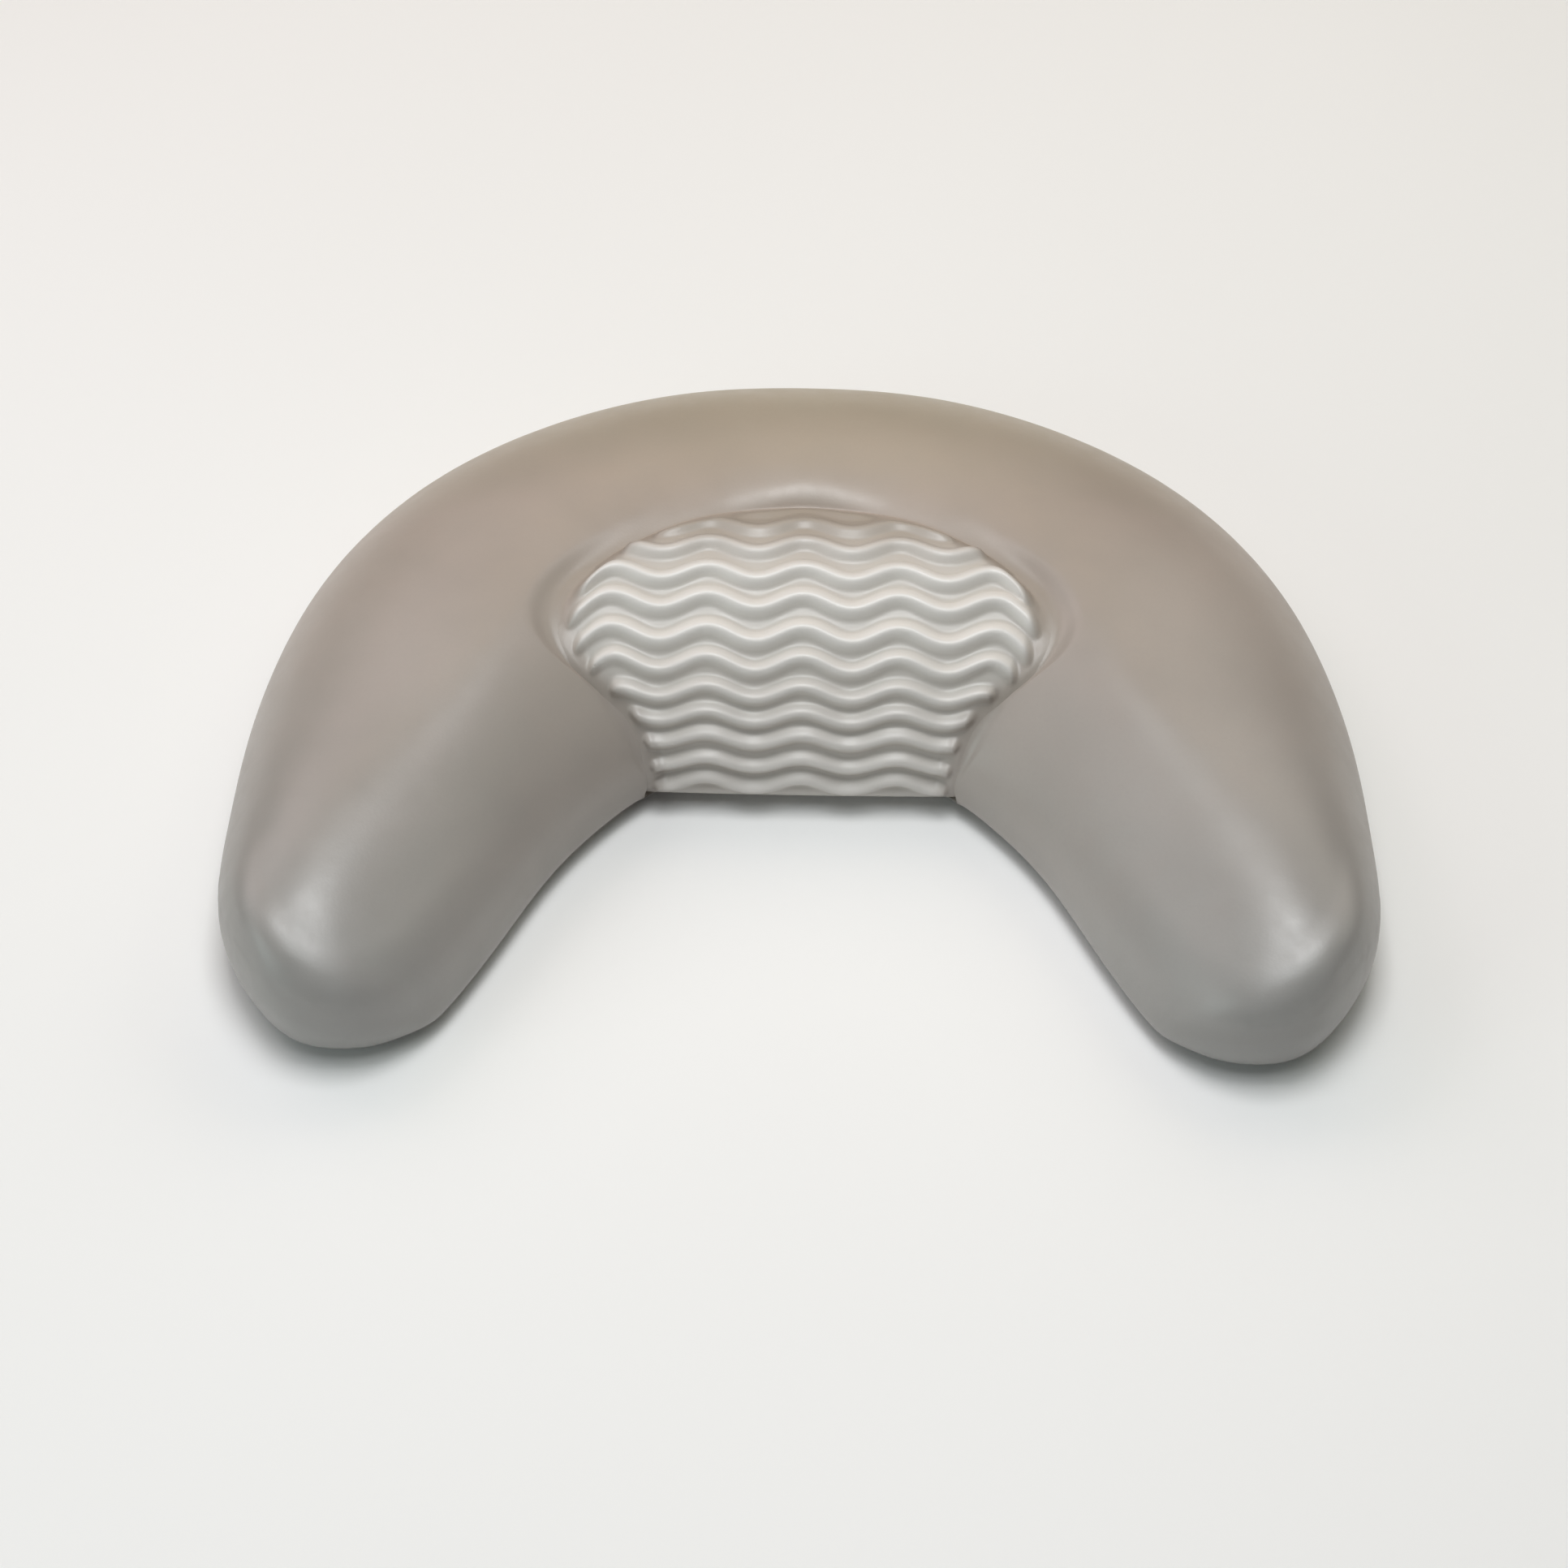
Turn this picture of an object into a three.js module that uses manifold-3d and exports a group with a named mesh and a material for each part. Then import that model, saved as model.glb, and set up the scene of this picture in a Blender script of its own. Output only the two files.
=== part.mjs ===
// Bath pillow: a crescent of soft moulded foam that wraps round the neck, with a ribbed neck pad set into its inner slope.
// Millimetres, +Z up. The pillow lies on its back: +Z points out of its face, -Y is the open side of the crescent, where
// the arms end, and the origin is on the surface that it lies on, at the middle of its footprint.
//
// How it comes apart: the neck pad pulls out of its pocket in the skin (three mushroom pegs hold it), the six suction cups
// snap out of their sockets, and the back plate flexes out of the skin's turned-in lip with the sockets behind it, which
// leaves the foam core inside the skin.
import * as THREE from "three";
import { mergeVertices } from "three/addons/utils/BufferGeometryUtils.js";
import Module from "manifold-3d";

const wasm = await Module();
wasm.setup();

// ---------------------------------------------------------------- driving dimensions
const STANDOFF = 5; // the cups hold the pillow's back this far off the surface
const Y_SHIFT = -30.125; // moves the shape, drawn from the pad's front edge, to the middle of the footprint
const GAP = 0.3; // between pieces that touch
const SKIN_T = 3; // moulded skin
const LIP_T = 3; // the skin's turned-in lip at the back
const LIP_W = 14; // width of that lip
const LIP_W_FRONT = 26; // and under the neck pad, where it also carries the pocket's wall
const EDGE_R = 4; // rounding of the back edge

// Plan of the right half at the widest line, from the middle of the back, round the arm's tip, to the middle of the front.
const OUTER = [[0, 168.5], [47.5, 163.8], [95, 146], [136, 116], [164, 72.5], [177, 21], [179.5, -25], [178.5, -61], [172, -83]];
const TIP = [[160, -100], [146.5, -107.5], [129.5, -107]];
const INNER = [[114, -98], [104, -85], [92.5, -64], [79, -38], [65, -18.2], [52.5, -5], [44, -2.8], [24, -3.4], [0, -3.6]];
// The crest that runs round the crescent, from the middle to the arm's end: x, y and height over the back.
const CREST = [[0, 98, 56], [36, 94.6, 56], [66.6, 79, 55.6], [86.6, 51.4, 54.4], [102.5, 15.8, 52.4], [122, -14.2, 50], [141.8, -44, 47.2], [154, -70, 44], [157, -82, 41.8]];
// How much hollower (or fuller, below 0) than an ellipse the profile is, at knots along that outline.
const FULLNESS = [[0, 0], [6, 0], [8, -0.28], [10, -0.28], [13, 0.15], [15, 0.3], [16, 0.38], [20, 0.38]];

// The neck pad is part of a roll about an axis along X: its half width for each angle up from the front.
const ROLL_R = 60;
const ROLL_Y = 56.6;
const PAD_T = 12.5;
const PAD_CROWN = 2; // how much the roll drops at the pad's widest edges
const PAD_EDGE = [[2.8, 49.6], [15, 51.2], [26, 54.6], [35, 61], [43, 70], [52, 76.8], [61, 79.2], [69, 78.4], [78, 74.4], [87, 66.7], [97, 54.2], [106, 38.4], [112, 23.2], [115.6, 9], [116.6, 1.5]];
const PEG_X = [-38, 0, 38];
const PEG_Y = 58;
const PEG_R = 3;
const PEG_HEAD_R = 5;

// Back plate
const PLATE_FACE_T = 3.3; // the part that fills the lip's opening
const PLATE_FLANGE_T = 2.5; // the part behind the lip
const FLANGE_IN = 8; // the flange's edge, in from the outline
const WELL_R = 23; // wells that the suction cups sit in
const WELL_DEPTH = 5;
const WELL_WALL = 2.5;
const SOCKET_HOLE_R = 7.3;

// Suction cups and their floating sockets: x, y, and the way that the release tab points, in degrees
const STATIONS = [
  [-55, 108, 125], [55, 108, 55],
  [-120, 36, 160], [120, 36, 20],
  [-137.5, -60, 205], [137.5, -60, -25],
];
const SOCKET_TRAVEL = 3;
const CUP_R = 20;
const CUP_SEGMENTS = 20;
const SOCKET_SEGMENTS = 14;

// ---------------------------------------------------------------- helpers
const rad = (d) => (d * Math.PI) / 180;

// Natural cubic spline through points P at parameters t.
function spline(t, P) {
  const n = t.length, dim = P[0].length, h = [], M = P.map(() => new Array(dim).fill(0));
  for (let i = 0; i < n - 1; i++) h.push(t[i + 1] - t[i]);
  for (let d = 0; d < dim; d++) {
    const c = new Array(n).fill(0), r = new Array(n).fill(0);
    for (let i = 1; i < n - 1; i++) {
      const rhs = 6 * ((P[i + 1][d] - P[i][d]) / h[i] - (P[i][d] - P[i - 1][d]) / h[i - 1]);
      const m = 2 * (h[i - 1] + h[i]) - h[i - 1] * c[i - 1];
      c[i] = h[i] / m;
      r[i] = (rhs - h[i - 1] * r[i - 1]) / m;
    }
    for (let i = n - 2; i > 0; i--) M[i][d] = r[i] - c[i] * M[i + 1][d];
  }
  return (x) => {
    let k = 0;
    while (k < n - 2 && x >= t[k + 1]) k++;
    const a = (t[k + 1] - x) / h[k], b = 1 - a;
    return P[k].map((p, d) => a * p + b * P[k + 1][d] + (((a ** 3 - a) * M[k][d] + (b ** 3 - b) * M[k + 1][d]) * h[k] ** 2) / 6);
  };
}
const mirror = (p) => [-p[0], ...p.slice(1)];

const HALF = [...OUTER, ...TIP, ...INNER];
const EXT = 3; // knots mirrored past each end, so that both halves run smoothly into each other
const outlineAt = spline(
  Array.from({ length: HALF.length + 2 * EXT }, (_, i) => i - EXT),
  [...HALF.slice(1, 1 + EXT).reverse().map(mirror), ...HALF, ...HALF.slice(-1 - EXT, -1).reverse().map(mirror)],
);
const crestAt = spline(
  Array.from({ length: 2 * CREST.length - 1 }, (_, i) => i - CREST.length + 1),
  [...CREST.slice(1).reverse().map(mirror), ...CREST],
);

// The closed outline, each point with the crest point that its rib runs up to. key tells which crest points are one.
function loop(perKnot, perTip) {
  const K = CREST.length - 1, right = [];
  for (let i = 0; i <= K * perKnot; i++) right.push([i / perKnot, i]);
  const tipSpans = TIP.length + 1;
  for (let i = 1; i <= tipSpans * perTip; i++) right.push([K + i / perTip, K * perKnot]);
  for (let i = 1; i <= K * perKnot; i++) right.push([K + tipSpans + i / perKnot, K * perKnot - i]);
  const made = right.map(([u, k]) => ({ u, c: outlineAt(u), g: crestAt(k / perKnot), key: k }));
  const left = made.slice(1, -1).reverse().map((p) => ({ u: -p.u, c: mirror(p.c), g: mirror(p.g), key: -p.key }));
  const all = [...made, ...left];
  // inward normals of the outline, which runs clockwise seen from above
  all.forEach((p, i) => {
    const a = all[(i + all.length - 1) % all.length].c, b = all[(i + 1) % all.length].c;
    const dx = b[0] - a[0], dy = b[1] - a[1], l = Math.hypot(dx, dy);
    p.n = [dy / l, -dx / l];
  });
  return all;
}
function fullness(u) {
  const x = Math.abs(u);
  let k = 0;
  while (k < FULLNESS.length - 2 && x >= FULLNESS[k + 1][0]) k++;
  const [[x0, y0], [x1, y1]] = FULLNESS.slice(k, k + 2);
  return y0 + ((y1 - y0) * (x - x0)) / (x1 - x0);
}
const inset = (p, d) => [p.c[0] + p.n[0] * d, p.c[1] + p.n[1] * d];

// A solid from vertices and triangles, turned the right way out.
function solid(verts, tris) {
  const flat = new Float32Array(verts.flat());
  const make = (t) => new wasm.Manifold(new wasm.Mesh({ numProp: 3, vertProperties: flat, triVerts: new Uint32Array(t.flat()) }));
  const m = make(tris);
  return m.volume() > 0 ? m : make(tris.map(([a, b, c]) => [a, c, b]));
}
function solidOfGeometry(geometry) {
  const g = geometry.clone();
  g.deleteAttribute("normal");
  g.deleteAttribute("uv");
  const m = mergeVertices(g, 1e-4);
  const p = m.attributes.position, ix = m.index.array, verts = [], tris = [];
  for (let i = 0; i < p.count; i++) verts.push([p.getX(i), p.getY(i), p.getZ(i)]);
  for (let i = 0; i < ix.length; i += 3) if (ix[i] !== ix[i + 1] && ix[i + 1] !== ix[i + 2] && ix[i] !== ix[i + 2]) tris.push([ix[i], ix[i + 1], ix[i + 2]]);
  return solid(verts, tris);
}
function geometryOf(manifold) {
  const m = manifold.getMesh(), n = m.vertProperties.length / m.numProp, pos = new Float32Array(n * 3);
  for (let i = 0; i < n; i++) for (let d = 0; d < 3; d++) pos[i * 3 + d] = m.vertProperties[i * m.numProp + d];
  const g = new THREE.BufferGeometry();
  g.setAttribute("position", new THREE.BufferAttribute(pos, 3));
  g.setIndex(Array.from(m.triVerts));
  g.computeVertexNormals();
  return g;
}
// An upright cylinder from z0 to z1.
function post(x, y, r, z0, z1, segments = 24) {
  const g = new THREE.CylinderGeometry(r, r, z1 - z0, segments);
  g.rotateX(Math.PI / 2);
  g.translate(x, y, (z0 + z1) / 2);
  return solidOfGeometry(g);
}
function block(x0, x1, y0, y1, z0, z1) {
  const g = new THREE.BoxGeometry(x1 - x0, y1 - y0, z1 - z0);
  g.translate((x0 + x1) / 2, (y0 + y1) / 2, (z0 + z1) / 2);
  return solidOfGeometry(g);
}

// The crescent: from a flat back, up elliptical ribs, to the crest. Drawn inward by d for the cavity and the core.
function crescent({ d, z0, edge, perKnot, perTip, rows }) {
  const ring = loop(perKnot, perTip), N = ring.length, levels = [], verts = [], tris = [];
  if (edge > 0)
    for (const a of [0, 0.45, 0.8])
      levels.push(ring.map((p) => {
        const s = inset(p, d + edge * (1 - Math.sin((a * Math.PI) / 2)));
        return [...s, z0 + edge * (1 - Math.cos((a * Math.PI) / 2))];
      }));
  for (let r = 0; r < rows; r++) {
    const f = ((r / rows) ** 0.9 * Math.PI) / 2;
    levels.push(ring.map((p) => {
      const c = inset(p, d), zt = p.g[2] - d, zb = z0 + edge, k = Math.sin(f) ** 2;
      const up = Math.sin(f) - fullness(p.u) * (1 - k) * k;
      return [p.g[0] + (c[0] - p.g[0]) * Math.cos(f), p.g[1] + (c[1] - p.g[1]) * Math.cos(f), zb + (zt - zb) * up];
    }));
  }
  for (const l of levels) verts.push(...l);
  const crest = new Map();
  ring.forEach((p) => {
    if (!crest.has(p.key)) {
      crest.set(p.key, verts.length);
      verts.push([p.g[0], p.g[1], p.g[2] - d]);
    }
  });
  const L = levels.length;
  for (let i = 0; i < N; i++) {
    const j = (i + 1) % N;
    for (let r = 0; r < L - 1; r++) {
      const a = r * N + i, b = r * N + j, c = (r + 1) * N + j, e = (r + 1) * N + i;
      tris.push([a, b, c], [a, c, e]);
    }
    const a = (L - 1) * N + i, b = (L - 1) * N + j, c = crest.get(ring[j].key), e = crest.get(ring[i].key);
    tris.push([a, b, c]);
    if (c !== e) tris.push([a, c, e]);
  }
  const base = levels[0].map((p) => new THREE.Vector2(p[0], p[1]));
  for (const [a, b, c] of THREE.ShapeUtils.triangulateShape(base, [])) tris.push([c, b, a].every((x) => x < N) ? [a, b, c] : [c, b, a]);
  return orient(verts, tris);
}
// Makes every triangle agree with its neighbours, then builds the solid.
function orient(verts, tris) {
  const edges = new Map(), done = new Array(tris.length).fill(false), key = (a, b) => (a < b ? a + "_" + b : b + "_" + a);
  tris.forEach((t, i) => {
    for (let k = 0; k < 3; k++) {
      const e = key(t[k], t[(k + 1) % 3]);
      if (!edges.has(e)) edges.set(e, []);
      edges.get(e).push(i);
    }
  });
  const queue = [0];
  done[0] = true;
  while (queue.length) {
    const i = queue.pop(), t = tris[i];
    for (let k = 0; k < 3; k++) {
      const a = t[k], b = t[(k + 1) % 3];
      for (const j of edges.get(key(a, b)))
        if (!done[j]) {
          const o = tris[j];
          for (let m = 0; m < 3; m++) if (o[m] === a && o[(m + 1) % 3] === b) tris[j] = [o[0], o[2], o[1]];
          done[j] = true;
          queue.push(j);
        }
    }
  }
  return solid(verts, tris);
}

// A flat plate with a stepped edge: stations are [inset, z], the inset being wider under the neck pad.
function plate(steps, perKnot, perTip) {
  const ring = loop(perKnot, perTip), N = ring.length, verts = [], tris = [];
  const extra = (p) => {
    const front = CREST.length + TIP.length + 3; // outline knots from here on lie under the pad
    const s = Math.min(1, Math.max(0, (Math.abs(p.u) - front) / 2));
    return (LIP_W_FRONT - LIP_W) * s * s * (3 - 2 * s);
  };
  for (const [d, z] of steps) for (const p of ring) verts.push([...inset(p, d + extra(p)), z]);
  for (let r = 0; r < steps.length - 1; r++)
    for (let i = 0; i < N; i++) {
      const j = (i + 1) % N;
      tris.push([r * N + i, r * N + j, (r + 1) * N + j], [r * N + i, (r + 1) * N + j, (r + 1) * N + i]);
    }
  for (const r of [0, steps.length - 1]) {
    const shape = verts.slice(r * N, r * N + N).map((p) => new THREE.Vector2(p[0], p[1]));
    for (const t of THREE.ShapeUtils.triangulateShape(shape, [])) tris.push(t.map((i) => i + r * N));
  }
  return orient(verts, tris);
}

// A slab of the roll through the given radii, within the pad's edge grown by g. The crown drops the last one at the sides.
function rollSlab({ radii, g, crown, low, across }) {
  const edge = PAD_EDGE.map(([a, w], i) => {
    const last = PAD_EDGE.length - 1;
    const da = i === 0 ? 0 : PAD_EDGE[Math.min(i + 1, last)][0] - PAD_EDGE[i - 1][0], dw = i === 0 ? 0 : PAD_EDGE[Math.min(i + 1, last)][1] - PAD_EDGE[i - 1][1];
    const ax = (rad(da) * ROLL_R), l = Math.hypot(ax, dw) || 1; // outward normal of the edge, in arc length and x
    const nx = i === 0 ? 1 : ax / l, na = i === 0 ? 0 : -dw / l;
    return i === 0 ? [low, w + g] : [a + (na * g * 180) / Math.PI / ROLL_R, w + nx * g];
  });
  const verts = [], tris = [], rows = edge.length, cols = across + 1;
  radii.forEach((r0, layer) => {
    const c = layer === radii.length - 1 ? crown : 0;
    for (const [a, w] of edge)
      for (let k = 0; k < cols; k++) {
        const s = Math.sin((((2 * k) / across - 1) * Math.PI) / 2), x = w * s, r = r0 - c * (x / 76.8) ** 2;
        verts.push([x, ROLL_Y - r * Math.cos(rad(a)), r * Math.sin(rad(a))]);
      }
  });
  const id = (layer, i, k) => (layer * rows + i) * cols + k;
  const top = radii.length - 1;
  for (const layer of [0, top])
    for (let i = 0; i < rows - 1; i++)
      for (let k = 0; k < across; k++) tris.push([id(layer, i, k), id(layer, i, k + 1), id(layer, i + 1, k + 1)], [id(layer, i, k), id(layer, i + 1, k + 1), id(layer, i + 1, k)]);
  const wall = (p, q) => {
    for (let l = 0; l < top; l++) tris.push([id(l, ...p), id(l, ...q), id(l + 1, ...q)], [id(l, ...p), id(l + 1, ...q), id(l + 1, ...p)]);
  };
  for (let i = 0; i < rows - 1; i++) {
    wall([i, 0], [i + 1, 0]);
    wall([i, across], [i + 1, across]);
  }
  for (let k = 0; k < across; k++) {
    wall([0, k], [0, k + 1]);
    wall([rows - 1, k], [rows - 1, k + 1]);
  }
  return orient(verts, tris);
}

// A turned piece about Z from a profile of [radius, z] that starts and ends on the axis.
function turned(profile, segments) {
  return solidOfGeometry(new THREE.LatheGeometry(profile.map(([r, z]) => new THREE.Vector2(r, z)), segments).rotateX(Math.PI / 2));
}

// ---------------------------------------------------------------- the pieces
const PLATE_TOP = PLATE_FACE_T + PLATE_FLANGE_T;
const WELL_TOP = WELL_DEPTH + WELL_WALL;
const SOCKET_LOW = WELL_DEPTH - SOCKET_TRAVEL - 0.2; // its collar ends flush with the well's floor when pressed home
const SOCKET_FLANGE = WELL_TOP + GAP;
const SOCKET_TOP = SOCKET_FLANGE + 9.7;

const bodyMesh = { perKnot: 2, perTip: 3 };
const insideMesh = { perKnot: 2, perTip: 2 };

// Skin: the crescent, hollow, with a pocket for the neck pad and an opening at the back inside its turned-in lip.
const padPocket = rollSlab({ radii: [ROLL_R - PAD_T - GAP, ROLL_R, 95], g: GAP + 0.05, crown: 0, low: 2.5, across: 10 });
const pocketWall = rollSlab({ radii: [ROLL_R - PAD_T - GAP - SKIN_T, ROLL_R, 95], g: GAP + SKIN_T, crown: 0, low: -12, across: 10 });
const cavity = crescent({ d: SKIN_T, z0: LIP_T, edge: 0, rows: 6, ...insideMesh }).subtract(pocketWall);
const opening = plate([[LIP_W, -2], [LIP_W, LIP_T + 0.5]], 2, 2);
let skin = crescent({ d: 0, z0: 0, edge: EDGE_R, rows: 7, ...bodyMesh }).subtract(padPocket).subtract(cavity).subtract(opening);
for (const x of PEG_X) skin = skin.subtract(post(x, PEG_Y, PEG_R + GAP, 30, 60, 12));

// Neck pad: a thick slab of the roll with three mushroom pegs that snap through the pocket's floor.
let pad = rollSlab({ radii: [ROLL_R - PAD_T, ROLL_R], g: 0, crown: PAD_CROWN, low: PAD_EDGE[0][0], across: 10 });
for (const x of PEG_X) pad = pad.add(post(x, PEG_Y, PEG_R, 40, 49, 12)).add(post(x, PEG_Y, PEG_HEAD_R, 36, 40.4, 12));

// Back plate: fills the lip's opening, its flange lies behind the lip, and a well holds each suction cup.
let back = plate([[LIP_W + 0.4, 0], [LIP_W + 0.4, PLATE_FACE_T], [FLANGE_IN, PLATE_FACE_T], [FLANGE_IN, PLATE_TOP]], 2, 2);
for (const [x, y] of STATIONS) back = back.add(post(x, y, WELL_R + WELL_WALL, 1, WELL_TOP, 20));
for (const [x, y] of STATIONS) back = back.subtract(post(x, y, WELL_R, -1, WELL_DEPTH, 20)).subtract(post(x, y, SOCKET_HOLE_R, 0, 12, SOCKET_SEGMENTS));

// Foam core: fills the skin from the plate up, with room for the wells, for the sockets' travel and for the pad's pegs.
let core = crescent({ d: SKIN_T + GAP, z0: LIP_T, edge: 0, rows: 6, ...insideMesh })
  .subtract(rollSlab({ radii: [ROLL_R - PAD_T - 2 * GAP - SKIN_T, ROLL_R, 95], g: 2 * GAP + SKIN_T + 0.1, crown: 0, low: -12, across: 10 }))
  .subtract(block(-300, 300, -300, 300, -10, PLATE_TOP + GAP));
for (const [x, y] of STATIONS)
  core = core.subtract(post(x, y, WELL_R + WELL_WALL + GAP, 0, WELL_TOP + GAP, 20)).subtract(post(x, y, 12.3, 0, SOCKET_TOP + SOCKET_TRAVEL + 1, 14));
for (const x of PEG_X) core = core.subtract(post(x, PEG_Y, PEG_HEAD_R + 0.4, 35.4, 60, 12));

// Socket: a capped bush that floats in the plate, with its flange inside and a snap throat for the cup's head.
const socket = turned([
  [0, SOCKET_TOP], [8.6, SOCKET_TOP], [8.6, SOCKET_FLANGE + 2], [11, SOCKET_FLANGE + 2], [11, SOCKET_FLANGE],
  [7, SOCKET_FLANGE], [7, SOCKET_LOW], [5.4, SOCKET_LOW], [4.3, SOCKET_LOW + 1.2], [4.3, SOCKET_LOW + 3.6], [6.8, SOCKET_LOW + 3.6],
  [6.8, SOCKET_TOP - 2], [0, SOCKET_TOP - 2],
], SOCKET_SEGMENTS);

// Suction cup: a soft dished skirt with a flat sealing rim, a neck and a mushroom head, and a tab to peel it off by.
const HUB = SOCKET_LOW - GAP, LOW = -STANDOFF;
let cup = turned([
  [0, HUB + 10], [3.6, HUB + 9.1], [6, HUB + 5.8], [6, HUB + 4.25], [3.8, HUB + 4.25], [3.8, HUB], [6.4, HUB],
  [10, HUB - 1.7], [15, HUB - 3.3], [CUP_R, LOW + 0.9], [CUP_R, LOW], [17.4, LOW], [11, LOW + 2.7], [0, LOW + 4.2],
], CUP_SEGMENTS);
const tabShape = new THREE.Shape();
tabShape.moveTo(18.6, -4.5);
tabShape.lineTo(23.5, -4.5);
tabShape.absarc(23.5, -1.5, 3, -Math.PI / 2, 0, false);
tabShape.lineTo(26.5, 1.5);
tabShape.absarc(23.5, 1.5, 3, 0, Math.PI / 2, false);
tabShape.lineTo(18.6, 4.5);
tabShape.closePath();
const tab = new THREE.ExtrudeGeometry(tabShape, { depth: 1, bevelEnabled: false, curveSegments: 4 });
tab.translate(0, 0, LOW);
cup = cup.add(solidOfGeometry(tab));

// ---------------------------------------------------------------- the assembly
const finish = {
  skin: new THREE.MeshStandardMaterial({ color: 0xa29486, roughness: 0.42, metalness: 0 }),
  pad: new THREE.MeshStandardMaterial({ color: 0xa39a90, roughness: 0.4, metalness: 0 }),
  foam: new THREE.MeshStandardMaterial({ color: 0xd8d2c4, roughness: 0.95, metalness: 0 }),
  plate: new THREE.MeshStandardMaterial({ color: 0x6f6a64, roughness: 0.55, metalness: 0 }),
  socket: new THREE.MeshStandardMaterial({ color: 0xe6e4df, roughness: 0.45, metalness: 0 }),
  cup: new THREE.MeshStandardMaterial({ color: 0xd3dad9, roughness: 0.25, metalness: 0 }),
};
const pillow = new THREE.Group();
const shape = new THREE.Group(); // the drawing's frame: the back at z = 0, y from the pad's front edge
shape.position.set(0, Y_SHIFT, STANDOFF);
pillow.add(shape);
function piece(name, manifold, material, parent = shape) {
  const mesh = new THREE.Mesh(geometryOf(manifold), material);
  mesh.name = name;
  parent.add(mesh);
  return mesh;
}
piece("pillow_skin", skin, finish.skin);
piece("foam_core", core, finish.foam);
piece("neck_pad", pad, finish.pad);
piece("back_plate", back, finish.plate);
STATIONS.forEach(([x, y, way], i) => {
  const station = new THREE.Group();
  station.position.set(x, y, 0);
  shape.add(station);
  piece("cup_socket_" + (i + 1), socket, finish.socket, station);
  piece("suction_cup_" + (i + 1), cup, finish.cup, station).rotation.z = rad(way);
});

export default pillow;
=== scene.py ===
"""Bath pillow: a moulded crescent with a wave-ribbed neck pad, lying on its six suction cups."""

import math

import bmesh
import bpy
import numpy as np
from mathutils import Matrix, Vector
from mathutils.bvhtree import BVHTree
from mathutils.geometry import delaunay_2d_cdt


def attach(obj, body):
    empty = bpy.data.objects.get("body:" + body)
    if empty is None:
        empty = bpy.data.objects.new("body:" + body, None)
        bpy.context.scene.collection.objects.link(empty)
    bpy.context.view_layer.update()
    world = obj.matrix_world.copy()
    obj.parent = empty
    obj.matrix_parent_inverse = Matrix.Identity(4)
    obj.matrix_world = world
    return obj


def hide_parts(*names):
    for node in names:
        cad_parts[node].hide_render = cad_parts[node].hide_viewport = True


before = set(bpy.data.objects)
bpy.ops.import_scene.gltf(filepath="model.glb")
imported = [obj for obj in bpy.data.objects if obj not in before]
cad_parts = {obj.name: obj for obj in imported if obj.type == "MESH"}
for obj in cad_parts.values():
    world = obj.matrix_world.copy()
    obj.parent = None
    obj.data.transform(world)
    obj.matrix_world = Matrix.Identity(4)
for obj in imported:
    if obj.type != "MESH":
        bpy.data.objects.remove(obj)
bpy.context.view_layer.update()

# ------------------------------------------------------------------ the drawing, in millimetres
# x to the right, y to the closed back of the crescent, z up from the pillow's back
Y_SHIFT, STANDOFF = -30.125, 5.0
SKIN_T, LIP_W, LIP_W_FRONT, EDGE_R = 2.6, 14.0, 26.0, 4.0
OUTER = [(0, 168.5), (47.5, 163.8), (95, 146), (136, 116), (164, 72.5), (177, 21), (179.5, -25), (178.5, -61), (172, -83)]
TIP = [(160, -100), (146.5, -107.5), (129.5, -107)]
INNER = [(114, -98), (104, -85), (92.5, -64), (79, -38), (65, -18.2), (52.5, -5), (44, -2.8), (24, -3.4), (0, -3.6)]
CREST = [(0, 98, 56), (36, 94.6, 56), (66.6, 79, 55.6), (86.6, 51.4, 54.4), (102.5, 15.8, 52.4), (122, -14.2, 50), (143, -44, 48.8), (157, -70, 46.8), (161, -82, 45)]
# fullness of the profile from the crest down to the outline, along the outline: more than 0 is hollower than an ellipse
FULL_U = [0, 5, 6, 7, 8, 10, 11, 12, 13, 14, 15, 16, 20]
FULL = [0.0, 0.0, -0.02, -0.10, -0.10, 0.05, 0.05, 0.08, 0.10, 0.14, 0.24, 0.36, 0.38]
# height of the widest line above the back, along the outline: the ends of the arms are rounder underneath
EDGE_U, EDGE_Z = [0, 4.5, 6, 7, 8, 10.5, 11.5, 12.5, 20], [4.0, 4.0, 9.0, 14.0, 17.0, 17.0, 12.0, 4.0, 4.0]
ROLL_R, ROLL_Y, PAD_T, PAD_CROWN = 60.0, 56.6, 12.5, 1.5
PAD_EDGE = [(1.5, 49.5), (15, 51.2), (26, 54.6), (35, 61.0), (43, 70.0), (52, 76.8), (61, 79.2), (69, 78.4), (78, 74.4), (87, 66.7), (97, 54.2), (106, 38.4), (112, 23.2), (115.6, 9), (116.75, 0)]
# the crest point that the skin runs down from to each of those edge points
PAD_CREST = [3.95, 3.9, 3.86, 3.81, 3.75, 3.66, 3.52, 3.35, 3.08, 2.68, 2.15, 1.45, 0.85, 0.33, 0.0]
RIB_ROWS = [110.3, 100.2, 89.8, 78.9, 68.8, 58.1, 48.8, 39.8, 31.9, 24.3, 16.0, 8.4]
RIB_WAVE, RIB_H, PAD_LAND = 30.4, 2.7, 57.3
RIB_END = [(0, 44.2), (15, 45.5), (26, 48.3), (35, 53.7), (43, 62.1), (52, 68.8), (61, 71.3), (69, 70.7), (78, 67.1), (87, 60), (97, 48), (106, 32.5), (112, 17.5), (117, 2)]  # where the rows end
PAD_ROUND, PAD_DROP, PAD_GAP = 7.5, 1.3, 0.15  # the pad's own edge: width of its rounding, least fall, gap to the skin
FLANGE, FLANGE_T = 1.2, 0.08  # the pad's thin edge lies on the skin by this much
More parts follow.
